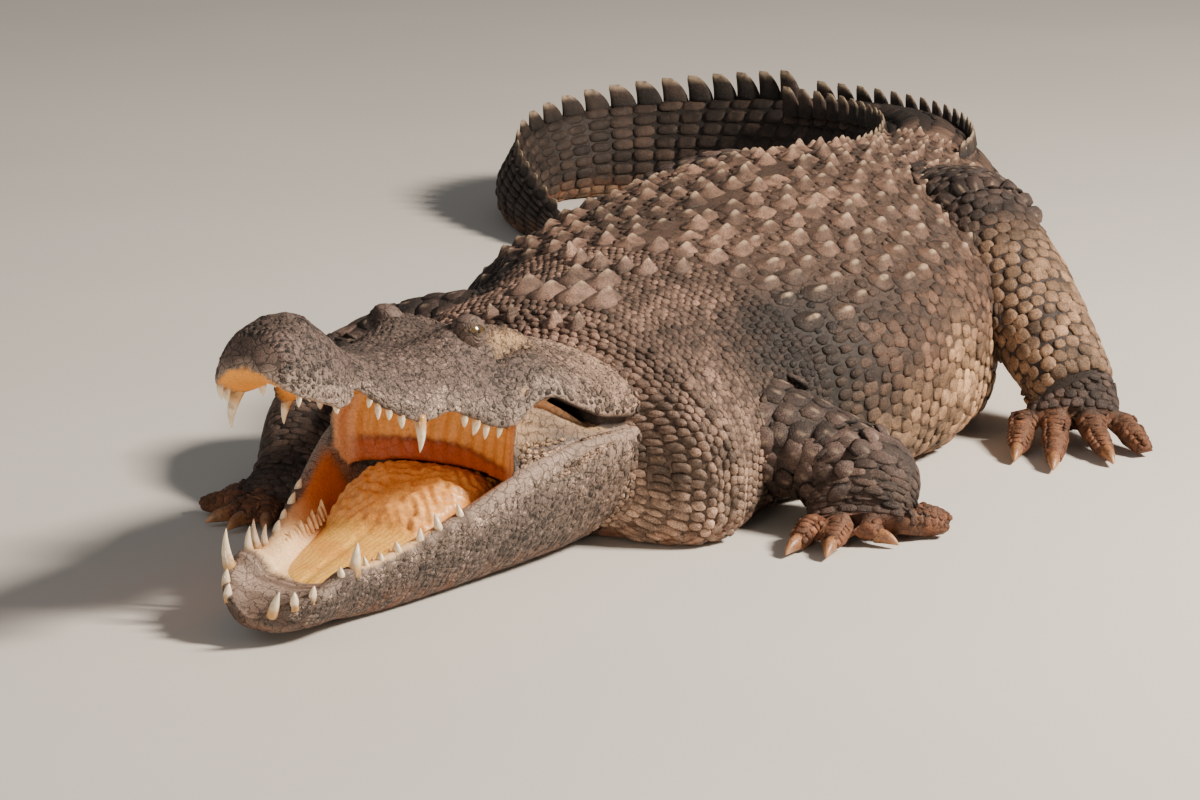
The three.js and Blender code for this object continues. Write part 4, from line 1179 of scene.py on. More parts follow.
def lattice(surface, s_from, s_to, share_from, share_to, step, columns, brick=0.5):
    """Places of scales in rows a step apart, with so many columns round, and every other row
    moved by a share of a column. Returns s, share, half-length, half-width and the row."""
    rows = max(2, int(round((s_to - s_from) / step)))
    row, column = (a.ravel() for a in np.meshgrid(
        np.arange(rows), np.arange(columns), indexing="ij"))
    s = s_from + (row + 0.5) * (s_to - s_from) / rows
    share = share_from + (column + 0.5 + brick * ((row % 2) - 0.5)) * (
        share_to - share_from) / columns
    girth = np.interp(s, surface.stations, surface.girth)
    half_round = girth * (share_to - share_from) / columns / 2
    half_s = np.full(len(s), (s_to - s_from) / rows / 2)
    return s, share, half_s, half_round, row


# %% Scales of the trunk and neck
# Places along the spine where one kind of scale gives way to the next, and shares round.
SHIELDS_START, FLANK_START, TAIL_START = 0.345, 0.40, 1.43
BACK_EDGE, FLANK_EDGE = 0.36, 0.70
SIDE_PATCH = {"left": (0.0, 0.5), "right": (0.5, 1.0)}
for side, surface in sides.items():
    patch = SIDE_PATCH[side]
    s, share, half_s, half_round, row = lattice(
        surface, SHIELDS_START, TAIL_START, 0.004, BACK_EDGE, 0.047, 7, 0.0)
    share = share + 0.012 * np.sin(row * 1.7)
    keel = 9.5 * MM * (0.85 + 0.15 * np.cos(share * 9)) * ramp(s, 0.28, 0.40)
    add_scales(
        "scutes_back", "back shield", surface, s, share, half_s * 0.98, half_round * 0.92,
        2.4 * MM, keel, body_tint(s, share), patch, 22 * MM)
    girth = np.interp(s, surface.stations, surface.girth)
    # Small scales fill the gaps: at the corners, behind and beside each shield. They are darker by
    # 0.62, a painted shade of the gaps.
    for shift_s, shift_round, small in ((0.5, 0.5, 8.5), (0.5, 0.0, 6.5), (0.0, 0.5, 6.0)):
        add_scales(
            "scales_between", "between", surface, s + shift_s * 2 * half_s,
            share + shift_round * 2 * half_round / girth, small * MM, small * MM, 2.6 * MM, 0.0,
            body_tint(s, share) * 0.62, patch, 22 * MM)
    s, share, half_s, half_round, row = lattice(
        surface, FLANK_START, TAIL_START, BACK_EDGE, FLANK_EDGE, 0.021, 15)
    tall = 2.8 * MM * (1 - 0.3 * ramp(share, 0.55, 0.7))
    add_scales(
        "scales_flank", "flank", surface, s, share, half_s * 1.10, half_round * 1.07, tall, 0.0,
        body_tint(s, share), patch, (20 + 14 * ramp(s, 0.90, 1.0)) * MM)
    s, share, half_s, half_round, row = lattice(
        surface, 0.335, FLANK_START, BACK_EDGE, FLANK_EDGE, 0.019, 17)
    add_scales(
        "scales_flank", "shoulder", surface, s, share, half_s * 1.05, half_round * 1.03,
        3.6 * MM, 0.0, body_tint(s, share), patch)
    s, share, half_s, half_round, row = lattice(
        surface, 0.10, TAIL_START, FLANK_EDGE, 0.99, 0.036, 7, 0.0)
    add_scales(
        "scales_belly", "under", surface, s, share, half_s * 0.99, half_round * 0.99, 1.2 * MM,
        0.0, body_tint(s, share), patch)
    # Shields of the neck: place, share round, half-length and half-width in millimetres.
    shields = np.array([
        [0.158, 0.030, 33, 23], [0.165, 0.082, 32, 20], [0.224, 0.030, 32, 22],
        [0.282, 0.026, 18, 15], [0.288, 0.070, 18, 15], [0.318, 0.110, 16, 14],
        [0.090, 0.045, 13, 11], [0.094, 0.09, 13, 11]])
    for s_from, s_to, step, columns, tall in (
            (0.020, 0.050, 0.0055, 30, 2.5), (0.050, 0.108, 0.0085, 34, 3.6),
            (0.108, SHIELDS_START, 0.0108, 48, 2.0)):
        s, share, half_s, half_round, row = lattice(
            surface, s_from, s_to, 0.0, 0.72, step, columns)
        girth = np.interp(s, surface.stations, surface.girth)
        away = np.hypot(
            (s[:, None] - shields[:, 0]) / (shields[:, 2] * MM),
            (share[:, None] - shields[:, 1]) * girth[:, None] / (shields[:, 3] * MM)).min(1)
        s, share, half_s, half_round = (v[away > 1.0] for v in (s, share, half_s, half_round))
        add_scales(
            "scales_neck", "neck", surface, s, share, half_s * 1.12, half_round * 1.08,
            tall * MM, 0.0, body_tint(s, share), patch)
    s, share = shields[:, 0], shields[:, 1]
    add_scales(
        "scutes_back", "neck shield", surface, s, share, shields[:, 2] * MM, shields[:, 3] * MM,
        5 * MM, 11 * MM, NECK_BROWN * 1.15, patch, 18 * MM)


# %% Scales of the tail
tail_end = TAIL_START + int((CREST_END - TAIL_START) / WHORL) * WHORL
for side, surface in sides.items():
    patch = SIDE_PATCH[side]
    s, share, half_s, half_round, row = lattice(
        surface, TAIL_START, tail_end, 0.02, 0.72, WHORL, 7, 0.0)
    add_scales(
        "scales_tail", "tail", surface, s, share, half_s * 1.02, half_round, 3.2 * MM, 0.0,
        body_tint(s, share) * 1.05, patch)
    s, share, half_s, half_round, row = lattice(
        surface, TAIL_START, tail_end, 0.72, 0.99, WHORL / 1.5, 3, 0.0)
    add_scales(
        "scales_tail", "under", surface, s, share, half_s, half_round, 1.2 * MM, 0.0,
        body_tint(s, share), patch)


# %% [markdown]
# ## The crest of the tail
#
# Along the tail two rows of upright flaps start low behind the hips, grow, and meet in a single
# row near the tip. Each flap is one scale pulled up into a thin blade: an oval that narrows
# as it rises and leans back, so it is made as a small loft of ovals.

# %% Crest flaps
def crest_height(s):
    """Rises with a power of 1.4 until the rows merge, then falls evenly towards the tip."""
    rising = 8 + 26 * (np.maximum(s - CREST_START, 0) / (CREST_MERGE - CREST_START)) ** 1.4
    falling = 34 * (CREST_FADE - s) / (CREST_FADE - CREST_MERGE)
    return MM * np.where(s < CREST_MERGE, rising, falling)


def flap_rings(s, row, levels=7, around=16):
    """Ovals rising from the foot to the top of a flap: each shrinks with the square root of
    what is left above it, and is set back by the square of its height."""
    w, middle, top = (along(BODY, c, s) for c in (1, 2, 3))
    foot = top - abs(row) * 0.16 * (top - middle) - COAT_TOP - 4 * MM
    tall = crest_height(s) + 14 * MM
    f = np.linspace(0, 1, levels)[:, None]
    t = np.linspace(0, 2 * np.pi, around, endpoint=False)[None, :]
    left = np.sqrt(1 - 0.97 * f**1.6)
    half_long = 0.5 * WHORL * (0.25 + 0.75 * left)
    half_wide = (5 * MM + 0.10 * tall) * left * (1 - 0.45 * f)
    lean = WHORL * 0.36 * f**2
    at_s = s + lean + half_long * np.cos(t)
    at_x = row * CREST_ROWS * w + half_wide * signed_power(np.sin(t), 0.8)
    return beside_spine(at_s, at_x, foot + tall * f + 0 * t)


crest, crest_places = Shells(), []
for s in np.arange(CREST_START, CREST_END, WHORL):
    for row in ((-1, 1) if s < CREST_MERGE else (0,)):
        rings = flap_rings(s, row)
        height, turn = np.meshgrid(
            np.linspace(0, 1, rings.shape[0]), np.linspace(0, 1, rings.shape[1]), indexing="ij")
        # The flaps take the tail's brown with its painted shade.
        crest.add(rings, TAIL_BROWN_AND_SHADE, np.stack([height, height**2, 0 * height + rng.random()], -1))
        height, turn = np.append(height, [0, 1]), np.append(turn, [0.5, 0.5])
        crest_places.append(np.stack([
            0.03 + 0.94 * (s - 1.1) / 2.1 + 0.0015 * height,
            0.5 + 0.2 * row + 0.0015 * turn], axis=-1))
print("crest flaps:", len(crest_places))
crest_mesh = crest.mesh("crest")
set_bake_map(crest_mesh, np.concatenate(crest_places))


# %% [markdown]
# ## Scales of the head
#
# On top of the snout the skin is fused to the bone and only cracks into fine, flat fields. On
# the cheeks and the lower jaw it lies over muscle and breaks into beads the size of a pea,
# larger towards the jowl. So the head uses the same scale maker with low, small scales, in
# bands that keep them even in size as the head widens.

# %% Unroll the jaws
SKULL_STATIONS = np.arange(0.014, 0.656, 0.004)
JAW_STATIONS = np.arange(0.034, 0.656, 0.004)
skull_sides, jaw_sides = {}, {}
for side, hand in (("left", 1), ("right", -1)):
    t = np.pi / 2 * (1 - np.linspace(0, 0.985, 120))[None, :]
    x, up = skull_outer(SKULL_STATIONS[:, None], t, 2 * MM)
    rings = skull_point(hand * x, SKULL_STATIONS[:, None] + 0 * x, up)
    skull_sides[side] = Unrolled(SKULL_STATIONS, rings)
    t = np.pi / 2 * np.linspace(0.97, 0.0, 120)[None, :]
    x, up = mandible_outer(JAW_STATIONS[:, None], t, 2 * MM)
    rings = mandible_point(hand * x, JAW_STATIONS[:, None] + 0 * x, up)
    rings[..., 2] = np.maximum(LEAST_HEIGHT, rings[..., 2])
    jaw_sides[side] = Unrolled(JAW_STATIONS, rings)

# %% Beads of the jaws
def beside_midline(surface, s, share):
    """How far the places of scales lie from the midline of the head."""
    return np.abs(surface.at(s, share)[0][:, 0] - ORIGIN[0])


for side in ("left", "right"):
    surface = skull_sides[side]
    for back_from, back_to, columns, step, tall in (
            (0.022, 0.070, 13, 0.0070, 0.8), (0.070, 0.16, 17, 0.0078, 0.8),
            (0.16, 0.26, 17, 0.0080, 0.8), (0.26, 0.34, 21, 0.0082, 0.9),
            (0.34, 0.42, 24, 0.0085, 1.0), (0.42, 0.50, 26, 0.0090, 1.1),
            (0.50, 0.65, 24, 0.0100, 1.9)):
        s, share, half_s, half_round, row = lattice(
            surface, back_from, back_to, 0.02, 0.97, step, columns)
        colour = skull_tint(s, beside_midline(surface, s, share), 1 - share**1.5)
        add_scales(
            f"scales_head_{side}", "jaw", surface, s, share, half_s * 1.06, half_round * 1.04,
            0.5 * tall * MM * (1 + 0.8 * ramp(share, 0.55, 0.9)), 0.0, colour, reach=6 * MM)
    surface = jaw_sides[side]
    for back_from, back_to, columns, step, tall in (
            (0.042, 0.14, 14, 0.0078, 0.7), (0.14, 0.24, 17, 0.0082, 0.8),
            (0.24, 0.36, 20, 0.0088, 1.0), (0.36, 0.46, 22, 0.0095, 1.2),
            (0.46, 0.56, 20, 0.0105, 1.6), (0.56, 0.655, 18, 0.0115, 2.4)):
        s, share, half_s, half_round, row = lattice(
            surface, back_from, back_to, 0.02, 0.98, step, columns)
        add_scales(
            f"scales_jaw_{side}", "jaw", surface, s, share, half_s * 1.06, half_round * 1.04,
            0.55 * tall * MM, 0.0, jaw_tint(s, share), reach=7 * MM)

# %% Cobbles of the cheek
CHEEK_STATIONS = np.arange(0.402, 0.556, 0.003)
for side, hand in (("left", 1.0), ("right", -1.0)):
    share = np.linspace(1, 0, 60)[None, :]
    back = CHEEK_STATIONS[:, None] + 0 * share
    surface = Unrolled(CHEEK_STATIONS, gape_point(hand, share + 0 * back, back, 2 * MM))
    flat_out = hand * np.array([1.0, 0, 0])
    surface.normals = np.broadcast_to(flat_out, surface.normals.shape)
    s, share, half_s, half_round, row = lattice(surface, 0.404, 0.552, 0.50, 0.98, 0.0105, 8)
    colour = mix(CHEEK_CREAM, JOWL_TAN, ramp(share, 0.5, 0.75))
    made = add_scales(
        f"scales_jaw_{side}", "cheek", surface, s, share, half_s * 1.05, half_round * 1.03,
        2.0 * MM, 0.0, colour, reach=14 * MM)
    print("cheek cobbles:", made)


# %% [markdown]
# ## Scales of the legs and feet
#
# The upper arm and the thigh carry large, slightly keeled scales on the outside. Towards the
# feet they shrink, and each toe has a single file of broad scales over it like roof tiles.

# %% Scales round the legs and over the toes
def unrolled_tube(rings):
    """A surface of rings whose stations are the way along their middle line."""
    middle = rings.mean(axis=1)
    length = np.append(0, np.cumsum(np.linalg.norm(np.diff(middle, axis=0), axis=1)))
    return Unrolled(length, rings)


def whole_round(rings):
    """A closed limb unrolled from the seam under it, right round and back to the seam."""
    quarter = rings.shape[1] * 3 // 4
    rings = np.roll(rings, -quarter, axis=1)
    return unrolled_tube(np.concatenate([rings, rings[:, :1]], axis=1))


# Row step and columns round, height and keel in millimetres, and how far the leg's dark colour
# turns to the flank's cream.
FRONT_SCALES = {
    "upper": (0.030, 12, 3.0, 1.5, 0.0), "lower": (0.0095, 11, 1.6, 0.0, 0.08),
    "palm": (0.0085, 13, 1.4, 0.0, 0.10)}
HIND_SCALES = {
    "upper": (0.025, 15, 2.8, 1.5, 0.0), "lower": (0.0175, 19, 2.2, 0.0, 0.5),
    "palm": (0.013, 18, 1.8, 0.0, 0.2)}
for leg_number, (name, leg) in enumerate(LEGS.items()):
    leg_scales = FRONT_SCALES if name.startswith("front") else HIND_SCALES
    for part_number, (part, (step, columns, tall, keel, cream)) in enumerate(leg_scales.items()):
        inset = SCALE_LEG if part != "palm" else 3 * MM
        surface = whole_round(limb_rings(leg[part], 40, 96, inset, ROUND_ENDS[part]))
        s, share, half_s, half_round, row = lattice(
            surface, 0.04 if part == "upper" else 0.0, surface.stations[-1], 0.0, 1.0, step,
            columns)
        outer = np.sin(np.pi * share)
        pale = cream * ramp(s, 0.05, 0.13) + 0.2 * (1 - ramp(outer, 0.2, 0.7))  # paler inside
        colour = mix(LEG_DARK, FLANK_CREAM, pale)
        first = (leg_number * 3 + part_number) / 12
        add_scales(
            "scales_legs", "leg", surface, s, share, half_s * 1.12, half_round * 1.08,
            tall * MM, keel * MM * ramp(outer, 0.5, 0.9), colour, (first, first + 1 / 12),
            30 * MM)
    for toe_number, toe in enumerate(leg["toes"]):
        rings = limb_rings(toe_stations(leg["palm"], toe), 40, 48, 2 * MM)[:, :25]
        surface = unrolled_tube(rings)
        first = (leg_number * 5 + toe_number) / 20
        for share_from, share_to in ((0.28, 0.72), (0.02, 0.28), (0.72, 0.98)):
            s, share, half_s, half_round, row = lattice(
                surface, 0.012, surface.stations[-1], share_from, share_to, 0.0095, 1, 0.0)
            add_scales(
                "scales_toes", "toe", surface, s, share, half_s * 1.05, half_round * 1.02,
                1.6 * MM, 0.0, TOE_TAN, (first, first + 1 / 20), 6 * MM)
for name, parts in coats.items():
    print(name, sum(part[0].shape[0] for part in parts), "scales")


# %% [markdown]
# ## Teeth and claws
#
# A crocodile's teeth are slender cones that curve back and inwards, some fresh and pointed and
# some worn to stumps, and no two neighbours are the same. A claw is the same shape pressed flat
# and bent down. Both are circles carried along a bent middle line, with a width that falls
# towards the tip, and all the teeth share one mesh.

# %% A curved cone
def horn_rings(start, out, bend, length, width, flat, blunt, levels=14, around=18):
    """The middle runs out along one direction and is bent towards another by the square of the
    way along. The half-width is half the width times (1 - way to the blunt) to the 0.85."""
    f = np.linspace(0, 1, levels)[:, None]
    out, bend = np.asarray(out, dtype=float), np.asarray(bend, dtype=float)
    middle = start + length * (out * f + bend * f**2)
    ahead = unit(out + 2 * bend * f)
    side = unit(np.cross(ahead, unit(np.cross(out, bend) + 1e-6)))
    over = np.cross(ahead, side)
    t = np.linspace(0, 2 * np.pi, around, endpoint=False)
    half = 0.5 * width * np.maximum(1 - f**blunt, 0) ** 0.85 + 0.0003
    return (
        middle[:, None] + side[:, None] * (half * np.cos(t))[..., None]
        + over[:, None] * (flat * half * np.sin(t))[..., None]
    )


def joined_rings(name, all_rings, tints, facts):
    """Many tubes in one mesh, each with its own rows of colours and marks."""
    shells = Shells()
    for rings, tint, fact in zip(all_rings, tints, facts):
        shells.add(rings, tint, fact)
    return shells.mesh(name)


def jaw_axes(lift):
    """Unit steps across, back and up in a jaw turned by the lift."""
    return (
        np.array([1.0, 0, 0]), np.array([0, math.cos(lift), -math.sin(lift)]),
        np.array([0, math.sin(lift), math.cos(lift)]))


# %% All the teeth
IVORY = srgb(236, 220, 190)
IVORY_ROOT = srgb(196, 150, 92)
tooth_rings, tooth_tints, tooth_facts, gum_places = [], [], [], []
for table, rows, column, point, lift, upward in (
        (SKULL, UPPER_TEETH, 3, skull_point, SNOUT_LIFT, -1),
        (MANDIBLE, LOWER_TEETH, 2, mandible_point, -MANDIBLE_DROP, 1)):
    across, backwards, up = jaw_axes(lift)
    for side, hand in (("left", 1), ("right", -1)):
        for back, length, width, lean in rows[side]:
            w = along(table, 1, back)
            lip = along(table, column, back)
            root = point(hand * (w - 7.5 * MM), back, lip - upward * 7 * MM)
            forward = 0.02 * bell(back - 30 * MM, 45 * MM)
            out = unit(upward * up + hand * across * 130 * lean - backwards * forward)
            bend = 0.20 * backwards - 0.16 * hand * across + 0.08 * rng.standard_normal(3)
            worn = 1.35 if length > 18 * MM else 2.6
            rings = horn_rings(root, out, bend, length + 7 * MM, width, 0.9, worn)
            way = np.linspace(0, 1, len(rings))[:, None]
            gum_places.append((root + out * 5 * MM, width, upward))
            tooth_rings.append(rings)
            tooth_tints.append(mix(IVORY_ROOT, IVORY, ramp(way, 0.15, 0.5)) + 0 * rings)
            facts = np.stack([way, 0 * way, 0 * way + rng.random()], axis=-1)
            tooth_facts.append(facts + 0 * rings)
print("teeth:", len(tooth_rings))

# %% Claws
claw_rings = []
for name, leg in LEGS.items():
    for number, toe in enumerate(leg["toes"], 1):
        if not toe[2]:
            continue
        knuckle, tip = toe_root(leg["palm"], toe) * MM, np.array(toe[:2]) * MM
        ahead = np.append((tip - knuckle) / np.linalg.norm(tip - knuckle), 0)
        root = np.append(tip, 13 * MM) - ahead * 0.80 * CLAW_LENGTH + ORIGIN
        rings = horn_rings(
            root, unit(ahead + np.array([0, 0, 0.10])), np.array([0, 0, -0.34]) - 0.05 * ahead,
            0.86 * CLAW_LENGTH, 19 * MM, 0.85, 2.1)
        rings[..., 2] = np.maximum(rings[..., 2], 0.8 * MM)
        claw_rings.append((f"claw_{name}_{number}", rings))
print("claws:", len(claw_rings))

# %% [markdown]
# ## The eyes and their lids
#
# The eye sits high on the skull, under a bony brow, and in daylight the lids leave only an
# almond of it showing, with an olive iris and an upright slit. The globe is a sphere with its
# pole at the pupil, so that rings of colour are rings of points. The lid is a second, slightly
# larger ball about the same centre, whose radius drops inside an almond-shaped opening.

# %% Two balls about one centre
def ball(centre, pole, level, radius, rings, around, far=math.pi):
    """Rings of a ball about its pole. radius is a function of (turn from the pole, a, b), where
    a and b are the parts of the direction that lie level and upright beside the pole."""
    pole = unit(np.asarray(pole, dtype=float))
    level = unit(level - pole * (level @ pole))
    upright = np.cross(pole, level)
    upright = upright * np.sign(upright[2])
    theta = np.linspace(0.002, far, rings)[:, None]
    phi = np.linspace(0, 2 * np.pi, around, endpoint=False)[None, :]
    a, b = np.sin(theta) * np.cos(phi), np.sin(theta) * np.sin(phi)
    direction = (
        pole * np.cos(theta)[..., None] + level * a[..., None] + upright * b[..., None])
    return centre + direction * radius(theta + 0 * a, a, b)[..., None], theta, a, b


def almond(a, b):
    """1 on the edge of the opening between the lids, less inside it: an oval whose height
    shrinks towards its corners."""
    return np.hypot(a / 0.50, b / (0.25 - 0.13 * np.clip(np.abs(a) / 0.5, 0, 1) ** 2))


def lid_radius(theta, a, b):
    """The lid's ball: 20.8 mm, more under the brow and less inside the almond, with a raised
    rim and fine folds."""
    m = almond(a, b)
    m = np.where(np.cos(theta) < 0.1, 4.0, m)
    folds = 0.7 * np.sin(9 * m) * ramp(m, 1.25, 1.5) * (1 - ramp(m, 2.6, 3.4))
    rim = 1.5 * bell(m - 1.12, 0.13)
    brow = 2.5 * ramp(b, 0.25, 0.7)
    return MM * (20.8 + brow + folds + rim - 5.0 * (1 - ramp(m, 0.93, 1.06)))


LID_DARK = srgb(84, 68, 58)
IRIS_OLIVE = srgb(70, 54, 26)
eye_rings, lids = {}, Shells()
across, backwards, up = jaw_axes(SNOUT_LIFT)
for side, hand in (("left", 1), ("right", -1)):
    centre = skull_point(hand * EYE["x"], EYE["back"], EYE["up"])
    gaze = hand * across * 0.86 - backwards * 0.36 + up * 0.34
    globe, theta, a, b = ball(
        centre, gaze, backwards, lambda theta, a, b: EYE["radius"] + 0 * theta, 72, 96)
    fine = 0.5 + 0.5 * np.sin(26 * np.arctan2(b, a) + 3 * np.sin(9 * np.arctan2(b, a)))
    iris = mix(IRIS_OLIVE, srgb(120, 92, 44), 0.5 * fine * ramp(theta, 0.1, 0.45) + 0 * a)
    slit = ramp(np.hypot(a / 0.07, b / 0.36), 0.85, 1.1)
    colour = mix(srgb(6, 5, 4), iris, slit)
    colour = mix(colour, srgb(40, 28, 18), ramp(theta, 0.50, 0.62) + 0 * a)
    eye_rings[side] = (globe, colour)
    lid, theta, a, b = ball(centre, gaze, backwards, lid_radius, 60, 80, 2.2)
    lid_colour = mix(LID_DARK, SKULL_TAUPE, ramp(almond(a, b), 1.8, 3.0))
    lids.add(lid, lid_colour, [0, 1, 1])

# %% [markdown]
# ## The tongue and the floor of the mouth
#
# The tongue lies flat between the jaws, fixed along its whole length, smooth and streaked in
# front. Behind it rises a soft lumpy mound, the flap that shuts the throat against water, and
# along its right edge the gum ends in a fringe of little points.

# %% Tongue, mound and fringe
TONGUE = MM * np.array([
    [118, 18, -26], [145, 44, -21], [200, 60, -20], [250, 66, -20], [276, 68, -16], [300, 74, -2],
    [330, 80, 8], [365, 84, 13], [400, 84, 8], [430, 78, -6], [460, 70, -18], [500, 66, -22],
])
tongue_back = np.linspace(0.118, 0.500, 150)[:, None]
tongue_t = np.linspace(0, 2 * np.pi, 140, endpoint=False)[None, :]
w, top = along(TONGUE, 1, tongue_back), along(TONGUE, 2, tongue_back)
arch = np.maximum(0, np.sin(tongue_t)) ** 0.55 * (top + 40 * MM) - 40 * MM
floor_up = -40 * MM + np.minimum(0, np.sin(tongue_t)) * 8 * MM
tongue_up = np.where(np.sin(tongue_t) > 0, arch, floor_up)
tongue_x = (w - 2 * MM) * signed_power(np.cos(tongue_t), 0.8)
mound = ramp(tongue_back, 0.272, 0.292) * ramp(np.sin(tongue_t), 0.05, 0.3)
lumps = (
    np.sin(tongue_x * 190 + 2.0 * np.sin(tongue_back * 95))
    * np.sin(tongue_back * 230 + 1.7 * np.sin(tongue_x * 120))
    + 0.6 * np.sin(tongue_x * 410 + 1) * np.sin(tongue_back * 380 + 2))
tongue_up = tongue_up + 2.7 * MM * mound * lumps
groove = ramp(np.sin(tongue_t), 0.5, 0.9) * bell(tongue_x, 5 * MM) * (1 - mound)
tongue_up = tongue_up - 2.5 * MM * groove
tongue_rings = mandible_point(tongue_x, tongue_back + 0 * tongue_x, tongue_up)
streak = 0.5 + 0.5 * np.sin(tongue_x * 900 + 4 * np.sin(tongue_back * 60))
tongue_colour = mix(TONGUE_YELLOW, TONGUE_STREAK, 0.55 * streak * (1 - mound))
tongue_colour = mix(tongue_colour, MOUND_YELLOW, mound)
tongue_colour = mix(tongue_colour, THROAT_RED, 0.8 * ramp(tongue_back, 0.42, 0.49) + 0 * mound)
edge = ramp(1 - np.abs(np.sin(tongue_t)), 0.55, 0.95) + 0 * mound
tongue_colour = mix(tongue_colour, TONGUE_EDGE, 0.6 * edge)

fringe_rings = []
across, backwards, up = jaw_axes(-MANDIBLE_DROP)
for hand, first, count in ((-1, 0.200, 11), (1, 0.185, 6)):
    for k in range(count):
        back = first + k * 9.5 * MM
        place = along(TONGUE, 1, back) + 3 * MM
        root = mandible_point(hand * place, back, -26 * MM)
        tall = (20 + 5 * math.sin(k * 2.1)) * MM
        out = unit(up + 0.15 * backwards + hand * across * 0.25)
        fringe_rings.append(horn_rings(root, out, 0.12 * across * -hand, tall, 11 * MM, 0.5, 2.0))
tongue_mesh = joined_rings(
    "tongue_soft", [tongue_rings] + fringe_rings,
    [tongue_colour] + [GUM_CREAM] * len(fringe_rings), [[1, 0, 0]] * (1 + len(fringe_rings)))
print("fringe points:", len(fringe_rings))


# %% [markdown]
# ## Materials from attributes and noise
#
# Every finish starts from the colour that the surface carries and is broken up at three sizes:
# blotches a hand across, cracks between fields of skin, and grain the size of a pore. Noise is read
# in the object's own coordinates, which are metres, so a scale of 300 means a detail of about three
# millimetres. The cracks and the grain also drive the bump, so that colour and relief agree.

# %% Node helpers
class Finish:
    """A material with a short way to add nodes and join them."""

    def __init__(self, name):
        self.material = bpy.data.materials.new(name)
        self.material.use_nodes = True
        self.nodes, self.links = self.material.node_tree.nodes, self.material.node_tree.links
        self.shader = self.nodes["Principled BSDF"]
        self.place = self.nodes.new("ShaderNodeTexCoord").outputs["Object"]

    def join(self, value, socket):
        """Links a socket, or sets a plain number or colour."""
        if isinstance(value, bpy.types.NodeSocket):
            self.links.new(value, socket)
        else:
            socket.default_value = value

    def mark(self, name):
        """A named attribute's colour."""
        node = self.nodes.new("ShaderNodeAttribute")
        node.attribute_name = name
        return node.outputs["Color"]

    def parts(self, colour):
        """The three channels of a colour."""
        node = self.nodes.new("ShaderNodeSeparateColor")
        self.join(colour, node.inputs[0])
        return node.outputs[:3]

    def noise(self, scale, detail, rough=0.55, distortion=0.0):
        """Cloudy noise from 0 to 1."""
        node = self.nodes.new("ShaderNodeTexNoise")
        self.join(self.place, node.inputs["Vector"])
        node.inputs["Scale"].default_value = scale
        node.inputs["Detail"].default_value = detail
        node.inputs["Roughness"].default_value = rough
        node.inputs["Distortion"].default_value = distortion
        return node.outputs["Fac"]

    def cells(self, scale, feature="DISTANCE_TO_EDGE", place=None):
        """Distance to the edge, or to the middle, of irregular cells."""
        node = self.nodes.new("ShaderNodeTexVoronoi")
        node.feature = feature
        self.join(place or self.place, node.inputs["Vector"])
        node.inputs["Scale"].default_value = scale
        return node.outputs["Distance"]

    def maths(self, kind, a, b):
        """One sum of two values."""
        node = self.nodes.new("ShaderNodeMath")
        node.operation = kind
        self.join(a, node.inputs[0])
        self.join(b, node.inputs[1])
        return node.outputs[0]

    def times(self, value, *others):
        """The product of several values."""
        for other in others:
            value = self.maths("MULTIPLY", value, other)
        return value

    def wavy(self):
        """The place, moved every way by up to some 2 cm by cloudy noise."""
        cloud = self.nodes.new("ShaderNodeTexNoise")
        self.join(self.place, cloud.inputs["Vector"])
        cloud.inputs["Scale"].default_value = 45
        node = self.nodes.new("ShaderNodeVectorMath")
        node.operation = "MULTIPLY_ADD"
        self.join(cloud.outputs["Color"], node.inputs[0])
        node.inputs[1].default_value = (0.022, 0.022, 0.022)
        self.join(self.place, node.inputs[2])
        return node.outputs[0]

    def range(self, value, low, high, to_low=0.0, to_high=1.0):
        """A value between low and high, moved to between two others and held there."""
        node = self.nodes.new("ShaderNodeMapRange")
        node.interpolation_type = "SMOOTHSTEP"
        self.join(value, node.inputs["Value"])
        for socket, number in zip(
                ("From Min", "From Max", "To Min", "To Max"), (low, high, to_low, to_high)):
            node.inputs[socket].default_value = number
        return node.outputs["Result"]

    def blend(self, share, a, b):
        """Colour a turned to b by the share."""
        node = self.nodes.new("ShaderNodeMix")
        node.data_type = "RGBA"
        self.join(share, node.inputs[0])
        for socket, value in ((node.inputs[6], a), (node.inputs[7], b)):
            if not isinstance(value, bpy.types.NodeSocket):
                value = (*value, 1.0)
            self.join(value, socket)
        return node.outputs[2]

    def shade(self, colour, value):
        """A colour times a number."""
        node = self.nodes.new("ShaderNodeVectorMath")
        node.operation = "SCALE"
        self.join(colour, node.inputs[0])
        self.join(value, node.inputs["Scale"])
        return node.outputs[0]

    def height(self):
        """Height above the floor."""
        node = self.nodes.new("ShaderNodeSeparateXYZ")
        self.join(self.place, node.inputs[0])
        return node.outputs["Z"]

    def bump(self, height, strength, distance):
        """A bump on the shader from a height of 0 to 1 times a distance in metres."""
        node = self.nodes.new("ShaderNodeBump")
        self.join(height, node.inputs["Height"])
        node.inputs["Strength"].default_value = strength
        node.inputs["Distance"].default_value = distance
        self.join(node.outputs["Normal"], self.shader.inputs["Normal"])

    def finish(self, colour, roughness, specular=0.5):
        """Sets colour, roughness and the strength of reflections."""
        self.join(colour, self.shader.inputs["Base Color"])
        self.join(roughness, self.shader.inputs["Roughness"])
        self.shader.inputs["Specular IOR Level"].default_value = specular
        return self.material


SOIL_LINE = 50 * MM  # the soil reaches this high


def soiled(made, colour):
    """A colour with red soil on it: most near the floor, broken up by noise."""
    low = made.range(made.height(), 0.0, SOIL_LINE, 0.45, 0.0)
    patchy = made.range(made.noise(45, 4, 0.65), 0.40, 0.66)
    return made.blend(made.times(low, patchy), colour, SOIL)


